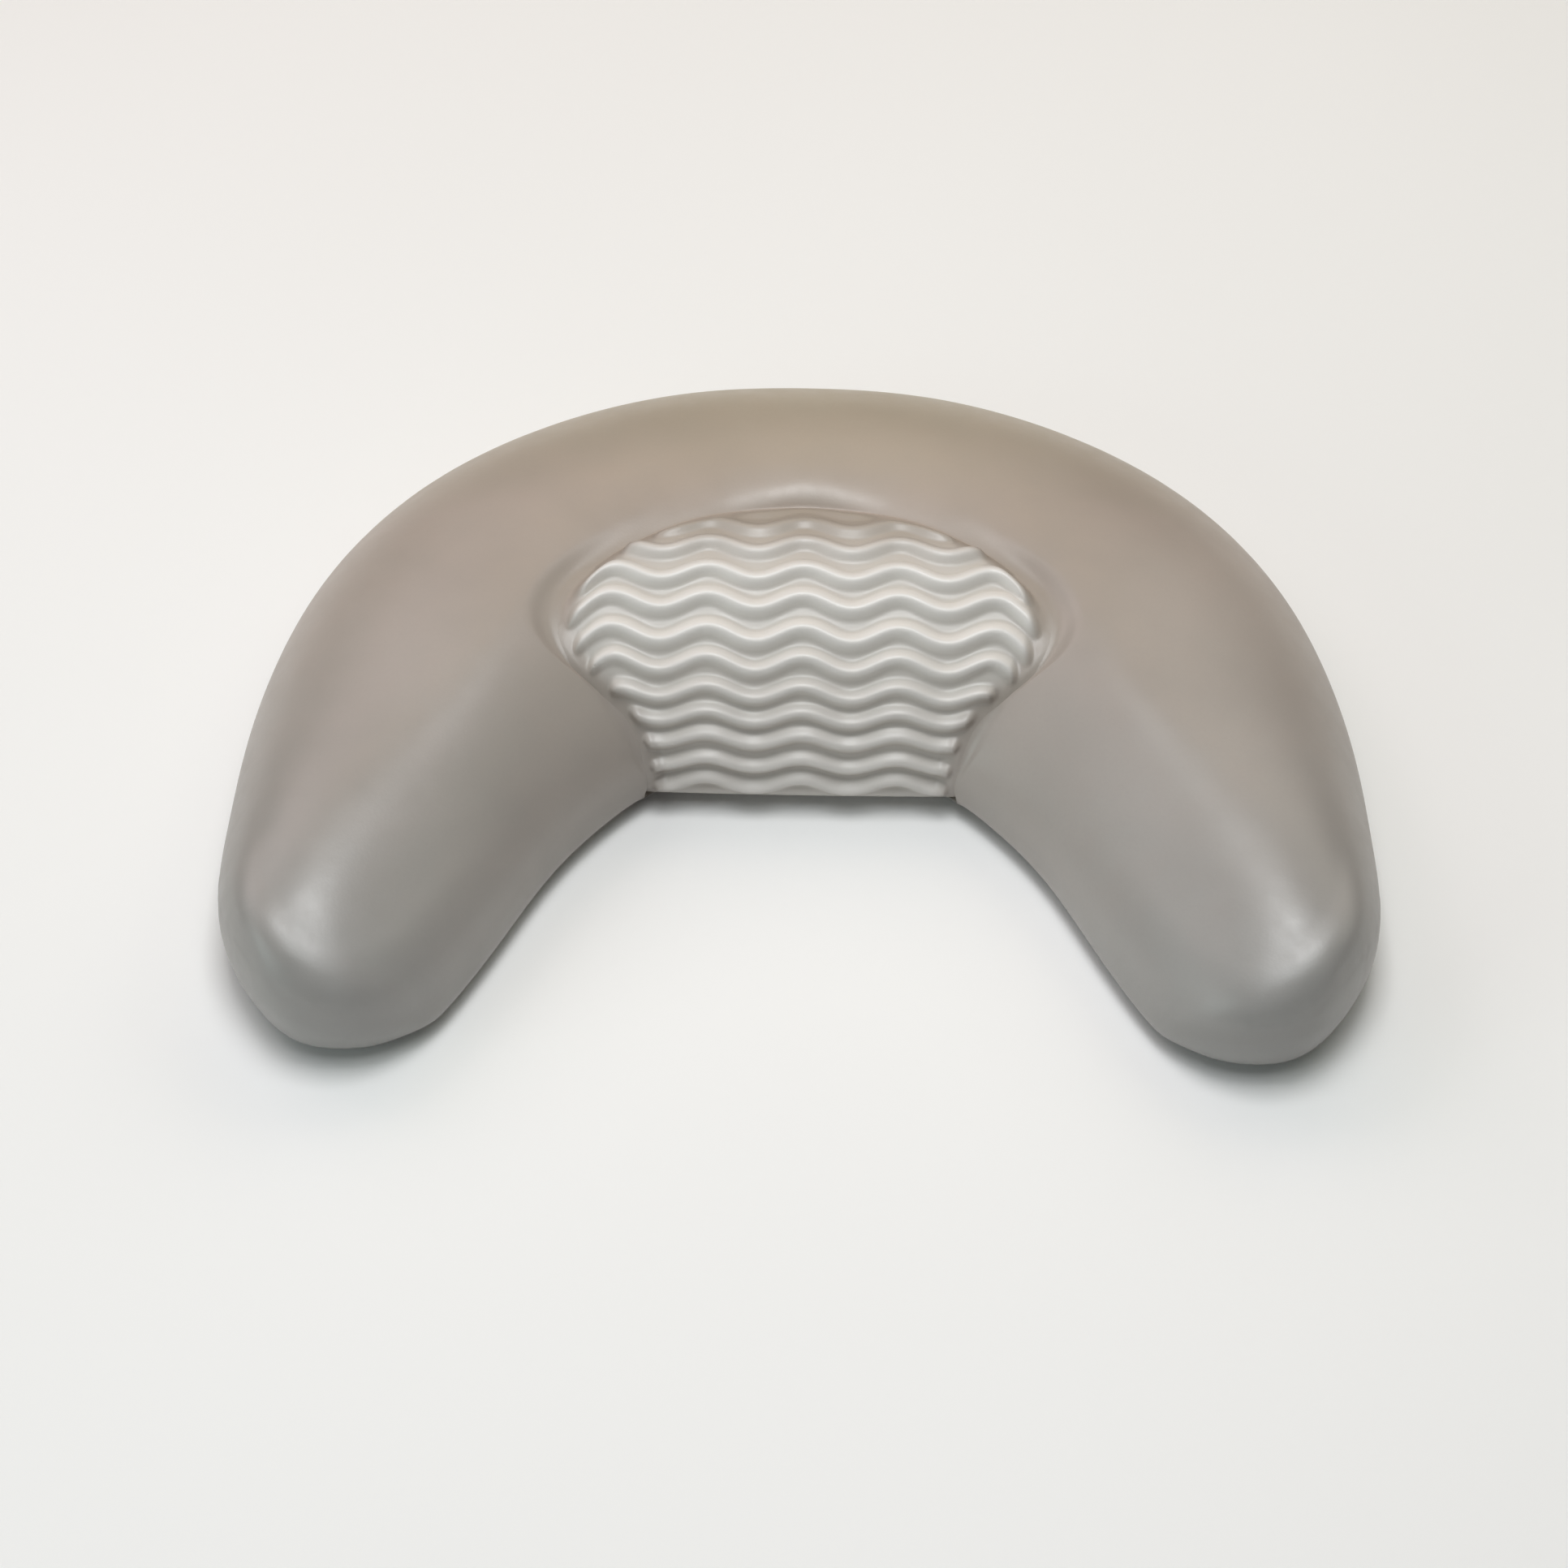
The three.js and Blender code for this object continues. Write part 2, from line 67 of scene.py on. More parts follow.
# the valley beside the pad, along its edge from the lower corner: place, depth below the skin, width on the skin's side
VALLEY_T, VALLEY, VALLEY_W = [0, 35, 58, 75, 95, 112, 140, 152], [0.8, 0.8, 1.4, 1.8, 1.3, 0.8, 0.7, 0.7], [14, 14, 12, 11, 10, 10, 12, 18]
PAINTED_SHADE_T, PAINTED_SHADE = [20, 45, 110, 135, 160], [0.0, 1.0, 1.0, 0.35, 0.3]  # painted shade: how much darker the valley is painted, along the pad's edge
STATIONS = [(-55, 108, 125), (55, 108, 55), (-120, 36, 160), (120, 36, 20), (-137.5, -60, 205), (137.5, -60, -25)]
WELL_R, WELL_DEPTH, WELL_WALL = 23.0, 5.0, 2.5
SOCKET_LOW, SOCKET_FLANGE, SOCKET_TOP = 1.8, 7.8, 17.5


def place(points):
    """Drawing millimetres to the frame's metres."""
    return (np.asarray(points, float) + (0.0, Y_SHIFT, STANDOFF)) / 1000.0


# ------------------------------------------------------------------ curves
def spline(t, p):
    """Natural cubic spline through points p at parameters t."""
    t, p = np.asarray(t, float), np.asarray(p, float)
    n, h = len(t), np.diff(t)
    a, b = np.eye(n), np.zeros_like(p)
    for i in range(1, n - 1):
        a[i, i - 1 : i + 2] = h[i - 1], 2 * (h[i - 1] + h[i]), h[i]
        b[i] = 6 * ((p[i + 1] - p[i]) / h[i] - (p[i] - p[i - 1]) / h[i - 1])
    m = np.linalg.solve(a, b)

    def at(x):
        x = np.atleast_1d(np.asarray(x, float))
        k = np.clip(np.searchsorted(t, x, side="right") - 1, 0, n - 2)
        hk = h[k][:, None]
        u = ((t[k + 1] - x) / h[k])[:, None]
        v = 1 - u
        return u * p[k] + v * p[k + 1] + ((u**3 - u) * m[k] + (v**3 - v) * m[k + 1]) * hk**2 / 6

    return at


def monotone(x, y):
    """Piecewise cubic through (x, y) that never overshoots."""
    x, y = np.asarray(x, float), np.asarray(y, float)
    h, d = np.diff(x), np.diff(y) / np.diff(x)
    m = np.zeros(len(x))
    m[0], m[-1] = d[0], d[-1]
    for i in range(1, len(x) - 1):
        if d[i - 1] * d[i] > 0:
            w1, w2 = 2 * h[i] + h[i - 1], h[i] + 2 * h[i - 1]
            m[i] = (w1 + w2) / (w1 / d[i - 1] + w2 / d[i])

    def at(q):
        q = np.atleast_1d(np.asarray(q, float))
        k = np.clip(np.searchsorted(x, q, side="right") - 1, 0, len(x) - 2)
        s = np.clip((q - x[k]) / h[k], 0, 1)
        return (2 * s**3 - 3 * s**2 + 1) * y[k] + (s**3 - 2 * s**2 + s) * h[k] * m[k] + (3 * s**2 - 2 * s**3) * y[k + 1] + (s**3 - s**2) * h[k] * m[k + 1]

    return at


def flip(p):
    p = np.array(p, float)
    p[..., 0] *= -1
    return p


HALF = np.array(OUTER + TIP + INNER, float)
N_OUT, N_TIP, N_IN = len(OUTER) - 1, len(TIP) + 1, len(INNER) - 1  # spans of the outline's three stretches
U_TIP, U_IN, U_END = N_OUT, N_OUT + N_TIP, N_OUT + N_TIP + N_IN
outline = spline(np.arange(len(HALF) + 6) - 3, np.vstack([flip(HALF[1:4][::-1]), HALF, flip(HALF[-4:-1][::-1])]))
crest = spline(np.arange(-N_OUT, N_OUT + 1), np.vstack([flip(np.array(CREST, float)[:0:-1]), CREST]))


fullness = monotone(FULL_U, FULL)
widest = monotone(EDGE_U, EDGE_Z)


def inward(u):
    d = outline(np.asarray(u) + 1e-3) - outline(np.asarray(u) - 1e-3)
    d /= np.linalg.norm(d, axis=1, keepdims=True)
    return np.stack([d[:, 1], -d[:, 0]], 1)


def dome(g, u, q):
    """Height at the fraction q of the way from the crest down to the outline at u, smooth across the crest."""
    c = outline(u)
    a, d = crest(g), crest(np.asarray(g) + 1e-3) - crest(np.asarray(g) - 1e-3)
    fall = d[:, 2] / (d[:, 0] ** 2 + d[:, 1] ** 2)
    along = fall * ((c[:, 0] - a[:, 0]) * d[:, 0] + (c[:, 1] - a[:, 1]) * d[:, 1])
    k = np.clip(1 - np.clip(q, 0, 1) ** 2, 0, 1)
    return widest(u) + (a[:, 2] - widest(u)) * (np.sqrt(k) - fullness(u) * (1 - k) * k) + along * q * k


def inner_height(x, y):
    """Height of the crescent's inner slope, with no pocket in it, over plan points of the right half."""
    x, y = np.asarray(x, float).ravel(), np.asarray(y, float).ravel()
    lo, hi = np.zeros_like(x), np.full_like(x, float(N_OUT))

    def side(g):
        a, c = crest(g)[:, :2], outline(U_END - g)
        return (c[:, 0] - a[:, 0]) * (y - a[:, 1]) - (c[:, 1] - a[:, 1]) * (x - a[:, 0])

    for _ in range(46):
        mid = (lo + hi) / 2
        past = side(mid) < 0
        hi, lo = np.where(past, mid, hi), np.where(past, lo, mid)
    g = (lo + hi) / 2
    a, c = crest(g), outline(U_END - g)
    d = c - a[:, :2]
    q = ((x - a[:, 0]) * d[:, 0] + (y - a[:, 1]) * d[:, 1]) / (d**2).sum(1)
    return dome(g, U_END - g, np.clip(q, 0, 1))


# The pad's edge as a curve in (x, degrees), from the right lower corner over the top to the left one.
_edge = np.array([(w, a) for a, w in PAD_EDGE], float)
_arc = _edge * (1, math.radians(ROLL_R))
_chord = np.concatenate([[0], np.cumsum(np.linalg.norm(np.diff(_arc, axis=0), axis=1))])
T_APEX = _chord[-1]
pad_edge = spline(np.concatenate([_chord, 2 * T_APEX - _chord[-2::-1]]), np.vstack([_edge, flip(_edge[-2::-1])]))
edge_crest = monotone(_chord, PAD_CREST)


def on_roll(x, degrees, rho):
    a = np.radians(degrees)
    x, a, rho = np.broadcast_arrays(np.asarray(x, float), a, np.asarray(rho, float))
    return np.stack([x, ROLL_Y - rho * np.cos(a), rho * np.sin(a)], -1)


def slope_level(x, degrees):
    """Distance from the roll's axis at which a line out of it meets the inner slope."""
    cos, sin = np.cos(np.radians(degrees)), np.sin(np.radians(degrees))
    lo, hi = np.full(len(x), 44.0), np.full(len(x), 66.0)
    for _ in range(40):
        mid = (lo + hi) / 2
        above = mid * sin > inner_height(x, ROLL_Y - mid * cos)
        hi, lo = np.where(above, mid, hi), np.where(above, lo, mid)
    return (lo + hi) / 2


_t = np.linspace(4.5, T_APEX, 120)
_e = pad_edge(_t)
_land = PAD_LAND - PAD_CROWN * (_e[:, 0] / 76.8) ** 2 - PAD_DROP
_meet = slope_level(_e[:, 0], _e[:, 1]) - np.interp(_t, VALLEY_T, VALLEY)
_meet = np.where(_t > 100, np.minimum(_meet, _land), _meet)  # behind the pad the skin falls to its edge
_pad = np.concatenate([_meet[:1].repeat(12), _meet, _meet[::-1][:12]])
_meet = np.convolve(_pad, np.ones(13) / 13, "same")[12:-12]


def edge_level(t):
    """Distance from the roll's axis at which pad and skin meet, the bottom of the valley between them."""
    t = np.asarray(t, float)
    return np.interp(np.where(t > T_APEX, 2 * T_APEX - t, t), _t, _meet)


# ------------------------------------------------------------------ mesh helpers
def make(name, verts, faces, smooth=True):
    mesh = bpy.data.meshes.new(name)
    mesh.from_pydata([tuple(v) for v in place(verts)], [], faces)
    mesh.validate()
    mesh.update()
    obj = bpy.data.objects.new(name, mesh)
    bpy.context.scene.collection.objects.link(obj)
    if smooth:
        mesh.shade_smooth()
    return obj


def weld(obj, distance=1e-5, close=False):
    bm = bmesh.new()
    bm.from_mesh(obj.data)
    bmesh.ops.remove_doubles(bm, verts=bm.verts, dist=distance)
    bmesh.ops.dissolve_degenerate(bm, edges=bm.edges, dist=1e-7)
    if close:
        bmesh.ops.holes_fill(bm, edges=[e for e in bm.edges if e.is_boundary], sides=12)
    bmesh.ops.recalc_face_normals(bm, faces=bm.faces)
    bm.to_mesh(obj.data)
    bm.free()
    obj.data.update()


def applied(obj):
    """Bakes the object's modifiers into its mesh."""
    dg = bpy.context.evaluated_depsgraph_get()
    mesh = bpy.data.meshes.new_from_object(obj.evaluated_get(dg))
    obj.modifiers.clear()
    old, obj.data = obj.data, mesh
    bpy.data.meshes.remove(old)
    return obj


def cut(obj, other, operation):
    m = obj.modifiers.new(operation.lower(), "BOOLEAN")
    m.operation, m.object, m.solver = operation, other, "EXACT"
    applied(obj)
    bpy.data.objects.remove(other)
    return obj


def smooth_by_angle(obj, degrees=35):
    mesh = obj.data
    mesh.shade_smooth()
    bm = bmesh.new()
    bm.from_mesh(mesh)
    for e in bm.edges:
        e.smooth = len(e.link_faces) == 2 and e.calc_face_angle(0) < math.radians(degrees)
    bm.to_mesh(mesh)
    bm.free()


def rounded(profile, radii, steps=4):
    """A profile of (r, z) points with each corner rounded by its radius."""
    out = []
    for i, p in enumerate(profile):
        p = np.array(p, float)
        r = radii[i]
        if r <= 0 or i in (0, len(profile) - 1):
            out.append(p)
            continue
        a, b = np.array(profile[i - 1], float) - p, np.array(profile[i + 1], float) - p
        la, lb = np.linalg.norm(a), np.linalg.norm(b)
        k = min(r, 0.45 * la, 0.45 * lb)
        s, e = p + a / la * k, p + b / lb * k
        for j in range(steps + 1):
            t = j / steps
            out.append((1 - t) ** 2 * s + 2 * t * (1 - t) * p + t**2 * e)
    return out


def turned(name, profile, segments, centre=(0, 0)):
    """A turned solid about a vertical line, from a profile that starts and ends on the axis."""
    verts, rings, faces = [], [], []
    for r, z in profile:
        if r < 1e-6:
            rings.append([len(verts)])
            verts.append((centre[0], centre[1], z))
        else:
            rings.append(list(range(len(verts), len(verts) + segments)))
            for k in range(segments):
                a = 2 * math.pi * k / segments
                verts.append((centre[0] + r * math.cos(a), centre[1] + r * math.sin(a), z))
    for p, q in zip(rings, rings[1:]):
        for k in range(segments):
            j = (k + 1) % segments
            if len(p) == 1:
                faces.append((p[0], q[j], q[k]))
            elif len(q) == 1:
                faces.append((p[k], p[j], q[0]))
            else:
                faces.append((p[k], p[j], q[j], q[k]))
    obj = make(name, verts, faces)
    weld(obj)
    return obj


# ------------------------------------------------------------------ skin
SOFT_RATE, SOFT_MOST = 0.75, 11.0  # how far the arm's end is evened out: share of the distance to the outline, limit


def soften(patches, top):
    """Evens out the heights over the end of the right arm, less and less towards the outline; changes the patches' first rows."""
    verts, faces = [], []
    for p in patches:
        base, c = len(verts), p.shape[1]
        verts.extend(Vector(v) for v in p[:top].reshape(-1, 3))
        for i in range(top - 1):
            for j in range(c - 1):
                k = base + i * c + j
                faces.append((k, k + 1, k + c + 1, k + c))
    tree = BVHTree.FromPolygons(verts, faces)
    x0, y0, nx, ny = 30.0, -125.0, 165, 150
    z, known = np.zeros((ny, nx)), np.zeros((ny, nx))
    for i in range(ny):
        for j in range(nx):
            hit = tree.ray_cast(Vector((x0 + j, y0 + i, 200.0)), Vector((0, 0, -1)))[0]
            if hit is not None:
                z[i, j], known[i, j] = hit.z, 1.0
    sigmas, changes = np.arange(0.0, SOFT_MOST + 0.1, 1.0), [np.zeros((ny, nx))]
    for sigma in sigmas[1:]:
        r = np.arange(-26, 27)
        bell = np.exp(-0.5 * (r / sigma) ** 2)
        both = []
        for a in (z, known):
            a = np.apply_along_axis(np.convolve, 0, a, bell, "same")
            both.append(np.apply_along_axis(np.convolve, 1, a, bell, "same"))
        changes.append((both[0] / np.maximum(both[1], 1e-9) - z) * known)
    changes = np.array(changes)
    line = outline(np.linspace(5.0, 16.0, 700))
    for p in patches:
        v = p[:top].reshape(-1, 3)
        near = v[:, 1] < -8
        for n in np.flatnonzero(near):
            far = np.sqrt(((line - v[n, :2]) ** 2).sum(1).min())
            w = np.clip((-8 - v[n, 1]) / 68, 0, 1)
            sigma = min(SOFT_MOST, SOFT_RATE * far) * w * w * (3 - 2 * w)
            gx, gy = v[n, 0] - x0, v[n, 1] - y0
            j, i, m = int(gx), int(gy), min(int(sigma), len(sigmas) - 2)
            fx, fy, fs = gx - j, gy - i, sigma - m
            cell = changes[m : m + 2, i : i + 2, j : j + 2]
            cell = cell[0] * (1 - fs) + cell[1] * fs
            p[n // p.shape[1], n % p.shape[1], 2] += (cell[0, 0] * (1 - fx) + cell[0, 1] * fx) * (1 - fy) + (cell[1, 0] * (1 - fx) + cell[1, 1] * fx) * fy


def build_skin():
    n_rows = 30  # from the crest to the widest line, or to the pad's edge
    fillet = np.radians([76, 61, 46, 34, 22, 11, 0])
    n_pad_rows = 3  # of those, the rows above the ledge under the pad
    psi = np.linspace(0, math.pi / 2, n_rows + 1)
    q = np.sin(psi)

    # samples along the crest: those that end on the pad's edge, then those of the arm
    t_pad = np.linspace(T_APEX, 0, 74)
    g_pad = edge_crest(t_pad)
    g_pad[0], g_pad[-1] = 0.0, PAD_CREST[0]
    g_arm = np.linspace(PAD_CREST[0], N_OUT, 62)[1:]
    g_all = np.concatenate([g_pad, g_arm])
    corner_u = 17.32
    to_arm = monotone([PAD_CREST[0], 4.25, 4.6, 5, 6, 7, N_OUT], [corner_u, 16.5, 15.72, 15, 14, 13, 12])

    def lip_rows(u):
        """Rows below the widest line: round the back edge, and along the turned-in lip."""
        c, n = outline(u), inward(u)
        rise = widest(u)
        turn = EDGE_R + 0.25 * (rise - EDGE_R)
        rows = []
        under = np.clip((np.abs(c[:, 0] - outline([corner_u])[0, 0]) - 0.5) / 5.0, 0, 1) * (u > corner_u)
        for a in fillet:
            d = turn * (1 - math.sin(a)) + under * np.maximum(0, 5.5 - EDGE_R * (1 - math.sin(a)))  # tucked in under the pad
            rows.append(np.column_stack([c + n * d[:, None], rise * (1 - math.cos(a))]))
        s = np.clip((np.abs(u) - 15.0) / 2.0, 0, 1)
        wide = LIP_W + (LIP_W_FRONT - LIP_W) * s * s * (3 - 2 * s)
        for k, z in ((0.35, 0), (0.7, 0), (0.93, 0), (0.98, 0.12), (1.0, 0.5)):
            d = turn + (wide - turn) * k
            rows.append(np.column_stack([c + n * d[:, None], np.full(len(u), z)]))
        return rows

    def outer_rows(u, g):
        a, c = crest(g), outline(u)
        rows = []
        for s in q:
            xy = a[:, :2] + (c - a[:, :2]) * s
            rows.append(np.column_stack([xy, dome(g, u, s)]))
        return np.array(rows + lip_rows(u))

    outer = outer_rows(g_all, g_all)
    u_tip = np.linspace(U_TIP, U_IN, 46)
    tip = outer_rows(u_tip, np.full(len(u_tip), float(N_OUT)))

    # the arm's inner slope
    g_in = np.concatenate([[PAD_CREST[0]], g_arm])
    u_in = to_arm(g_in)
    a, c = crest(g_in), outline(u_in)
    rows = []
    for s in q:
        xy = a[:, :2] + (c - a[:, :2]) * s
        z = inner_height(xy[:, 0], xy[:, 1]) if 0 < s < 1 else (a[:, 2] if s == 0 else widest(u_in))
        rows.append(np.column_stack([xy, z]))
    arm = np.array(rows + lip_rows(u_in))
    soften((outer, tip, arm), n_rows + 1)

    # round the pad: the slope from the crest to the pad's edge, rolled in there
    e = pad_edge(t_pad)
    k = np.clip(t_pad / 8.0, 0, 1)
    gap = PAD_GAP - (PAD_GAP + FLANGE) * k * k * (3 - 2 * k)
    de = pad_edge(t_pad + 0.01) - pad_edge(t_pad - 0.01)
    de[:, 1] *= math.radians(ROLL_R)
    de /= np.linalg.norm(de, axis=1, keepdims=True)
    ex = e[:, 0] + de[:, 1] * gap
    ea = e[:, 1] - np.degrees(de[:, 0] * gap / ROLL_R)
    ex[0] = 0.0
    cos, sin = np.cos(np.radians(ea)), np.sin(np.radians(ea))
    rho = slope_level(ex, ea)
    rim = on_roll(ex, ea, rho)
    rim[-1] = (*outline([corner_u])[0], EDGE_R)
    low = np.flatnonzero(t_pad < 4.5)
    first = low[0] - 1
    for i in low:  # down into the corner
        rim[i] = rim[-1] + (rim[first] - rim[-1]) * (t_pad[i] / t_pad[first])
        rho[i] = rho[first]
    a = crest(g_pad)
    level = edge_level(t_pad) - 0.05 + 0.11 * np.clip((t_pad - 95) / 20, 0, 1)  # beside the pad under its margin, behind it against its edge
    lip = np.maximum(rho - level, 0.0)
    out_dir = np.stack([np.zeros(len(e)), -cos, sin], 1)
    slope = []
    for s in q:
        xy = a[:, :2] + (rim[:, :2] - a[:, :2]) * s
        z = inner_height(xy[:, 0], xy[:, 1])
        if s == 0:
            z = a[:, 2]
        if s == 1:
            z = rim[:, 2]
        slope.append(np.column_stack([xy, z]))
    slope = np.array(slope)
    steps = np.linalg.norm(np.diff(slope, axis=0), axis=2)
    to_rim = np.vstack([np.cumsum(steps[::-1], axis=0)[::-1], np.zeros(len(e))])
    reach = np.minimum(np.maximum(lip * 1.9, np.interp(t_pad, VALLEY_T, VALLEY_W)), 0.93 * (to_rim[0] - FLANGE))  # the roll is wider than it is deep
    k = np.clip(1 - np.maximum(0, to_rim - FLANGE) / reach, 0, 1)
    crisp = np.clip((t_pad - 95) / 35, 0, 1)  # behind the pad the slope falls right to its edge, beside it the valley is round
    fold = crisp * (0.35 * k**2 + 0.65 * k**8) + (1 - crisp) * k**3 * (10 - 15 * k + 6 * k * k)
    near = np.clip(t_pad / 14.0, 0, 1)  # nothing rolls in at the corner itself
    fold *= near * near * (3 - 2 * near)
    far = np.hypot(slope[..., 1] - ROLL_Y, slope[..., 2])
    grow = 1 + (level / far - 1) * fold  # the skin runs level into the pad's margin
    slope[..., 1], slope[..., 2] = ROLL_Y + (slope[..., 1] - ROLL_Y) * grow, slope[..., 2] * grow
    # down the pocket's wall: the first rows meet the back edge's rounding at the corner
    wall = []
    top = slope[-1]
    corner_rows = lip_rows(np.array([corner_u]))
    depth_end = np.linalg.norm(top[:, 1:] - (ROLL_Y, 0), axis=1) - (ROLL_R - PAD_T - 0.3)
    for i in range(n_pad_rows):
        p = top - out_dir * (0.5 * (i + 1))
        w = np.exp(-t_pad / 2.0)[:, None]
        wall.append(p + w * (corner_rows[i][0] - p[-1]))
    foot = on_roll(ex, ea, np.full(len(e), ROLL_R - PAD_T - 0.3))
    foot[-1] = on_roll(ex[-1], 1.35, ROLL_R - PAD_T - 0.3)
    last = wall[-1]
    for s in (0.12, 0.4, 0.75, 0.95, 1.0):
        wall.append(last + (foot - last) * s)
    pad_slope = np.concatenate([slope, np.array(wall)])

    # the ledge under the pad, from the middle to the corner
    x_ledge = np.linspace(0, 1, 26)
    u_ledge = np.linspace(U_END, corner_u, 26)
    low = np.array(lip_rows(u_ledge))  # back edge and lip rows
    ledge = [low[i] for i in range(len(low) - 1, n_pad_rows - 2, -1)]  # from the lip's inner edge up to the ledge's front
    front = ledge[-1]
    foot_row = np.column_stack([x_ledge * foot[-1][0], np.full(26, foot[-1][1]), np.full(26, foot[-1][2])])
    corner_col = pad_slope[n_rows + n_pad_rows :, -1]
    f = np.linalg.norm(corner_col - corner_col[0], axis=1)
    f /= f[-1]
    for s in f[1:]:
        ledge.append(front + (foot_row - front) * s)
    ledge = np.array(ledge)

    # the pocket's floor
    floor = []
    for i in range(len(t_pad) - 1, -1, -1):
        floor.append(np.array([on_roll(foot[i][0] * s, ea[i] if i < len(t_pad) - 1 else 1.35, ROLL_R - PAD_T - 0.3) for s in x_ledge]))
    floor = np.array(floor)

    # painted shade: the valley beside the pad is painted a little darker
    k = np.clip((8 - to_rim) / 7, 0, 1)
    shade = np.ones(pad_slope.shape[:2])
    shade[: len(k)] = k * k * (3 - 2 * k)
    shade *= 0.7 * np.interp(t_pad, PAINTED_SHADE_T, PAINTED_SHADE)
    verts, faces, dim = [], [], []

    def grid(rows):
        base, (r, c) = len(verts), rows.shape[:2]
        verts.extend(rows.reshape(-1, 3))
        dim.extend((shade if rows.shape == pad_slope.shape else np.zeros((r, c))).ravel())
        for i in range(r - 1):
            for j in range(c - 1):
                p = base + i * c + j
                faces.append((p, p + 1, p + c + 1, p + c))

    for patch in (outer, pad_slope, ledge):
        patch[:, 0, 0] = 0.0  # the two halves meet here
    for patch in (outer, tip, arm, pad_slope, ledge, floor):
        grid(patch)
        grid(flip(patch))
    skin = make("pillow_skin_moulded", verts, faces)
    skin.data.attributes.new("dim", "FLOAT", "POINT")
    skin.data.attributes["dim"].data.foreach_set("value", np.array(dim, np.float32))
    weld(skin, 4e-6)
    return skin


# ------------------------------------------------------------------ neck pad
def build_pad():
    t = np.linspace(0, T_APEX, 600)
    e = pad_edge(t)
    ring = np.vstack([e, flip(e[-2::-1])])
    ring_mm = ring * (1, math.radians(ROLL_R))
    low = PAD_EDGE[0][0]
    rows, cols = 176, 150
    c = np.linspace(-1, 1, cols + 1)
    s_col = 0.45 * c + 0.55 * np.sin(c * math.pi / 2)
    deg = low + (PAD_EDGE[-1][0] - low) * (lambda v: 0.55 * v + 0.45 * (1 - np.cos(v * math.pi)) / 2)(np.linspace(0, 1, rows + 1))
    w_of = lambda a: np.interp(a, e[:, 1], e[:, 0])  # the edge climbs all the way
    widths = np.array([w_of(a) for a in deg])
    widths[-1] = 0.0
    x = widths[:, None] * s_col[None]
    s = np.radians(deg)[:, None] * ROLL_R + 0 * x
    # distance in from the edge
    closed = np.vstack([ring_mm, ring_mm[:1]])
    p0, d = closed[:-1], np.diff(closed, axis=0)
    l2 = np.maximum((d**2).sum(1), 1e-12)
    pts = np.stack([x.ravel(), s.ravel()], 1)
    dist, beside, side = np.zeros(len(pts)), np.zeros(len(pts)), np.zeros(len(pts))
    ring_t = np.concatenate([t, t[-2::-1], [0.0]])
    for i in range(0, len(pts), 1500):
        v = pts[i : i + 1500, None] - p0[None]
        k = np.clip((v * d[None]).sum(2) / l2, 0, 1)
        far = np.sqrt(((v - k[..., None] * d[None]) ** 2).sum(2))
        dist[i : i + 1500] = far.min(1)
        beside[i : i + 1500] = ring_t[far[:, :-1].argmin(1)]
        side[i : i + 1500] = far[:, :-1].min(1)
    dist, beside, side = dist.reshape(x.shape), beside.reshape(x.shape), side.reshape(x.shape)

    rib_end = lambda a: np.interp(a, *np.array(RIB_END, float).T)
    rib = np.zeros_like(x)
    for row in RIB_ROWS:
        swing = 1.7 + 0.75 * np.clip((row - 28) / 22, 0, 1)
        wide = 3.5 + 0.7 * np.clip((row - 30) / 28, 0, 1)
        hook = 2.6 * np.clip((row - 34) / 10, 0, 1) * np.clip((96 - row) / 20, 0, 1)  # the ends of the wide rows bend down
        half = float(rib_end(row))
        bend = np.clip((np.abs(x) - (half - 9)) / 9, 0, 1.4)
        centre = math.radians(row) * ROLL_R + swing * np.cos(2 * math.pi * x / RIB_WAVE) - hook * bend**2
        tilt = swing * 2 * math.pi / RIB_WAVE * np.sin(2 * math.pi * x / RIB_WAVE) + hook * 2 * bend / 9
        across = np.abs(s - centre) / np.sqrt(1 + tilt**2)
        end = rib_end(np.degrees(centre / ROLL_R))
        past = np.maximum(0, np.abs(x) - np.maximum(end, 0))
        u = np.clip(np.hypot(across, past) / wide, 0, 1)
        rib = np.maximum(rib, np.interp(row, [86, 112], [1.0, 0.45]) * (0.5 + 0.5 * np.cos(math.pi * u)) ** 0.8)
    k = np.clip(dist / (4.5 + 5.0 * np.clip((np.degrees(s / ROLL_R) - 92) / 12, 0, 1)), 0, 1)  # the last rows behind are the lowest
    rib *= k * k * (3 - 2 * k)
    # the lower edge turns under more tightly than the others
    foot = np.clip(1 - (s - math.radians(low) * ROLL_R) / 2.0, 0, 1)
    level_by = 1.8 * np.clip((114 - beside) / 20, 0, 1)  # beside the pad its margin lies level on the skin
    k = np.clip(1 - np.maximum(0, dist - level_by) / (PAD_ROUND - level_by), 0, 1)
    turn = np.clip((s - math.radians(low) * ROLL_R) / 5.0, 0, 1)
    land = PAD_LAND - PAD_CROWN * (x / 76.8) ** 2
    fall = land - edge_level(beside)
    rho = land - fall * k * k * (np.where(beside < 100, 3 - 2 * k, 2 - k)) * turn - PAD_DROP * (1 - np.sqrt(np.clip(1 - foot**2, 0, 1))) * (1 - turn) + RIB_H * rib
    top = on_roll(x, np.degrees(s / ROLL_R), rho)

    verts, faces = list(top.reshape(-1, 3)), []
    ids = np.arange((rows + 1) * (cols + 1)).reshape(rows + 1, cols + 1)
    for i in range(rows):
        for j in range(cols):
            faces.append((ids[i, j], ids[i, j + 1], ids[i + 1, j + 1], ids[i + 1, j]))
    border = list(ids[0, :]) + list(ids[1:-1, -1]) + [ids[-1, 0]] + list(ids[-2:0:-1, 0])
    flat = np.stack([x, np.degrees(s / ROLL_R)], -1).reshape(-1, 2)[border]
    n = len(border)
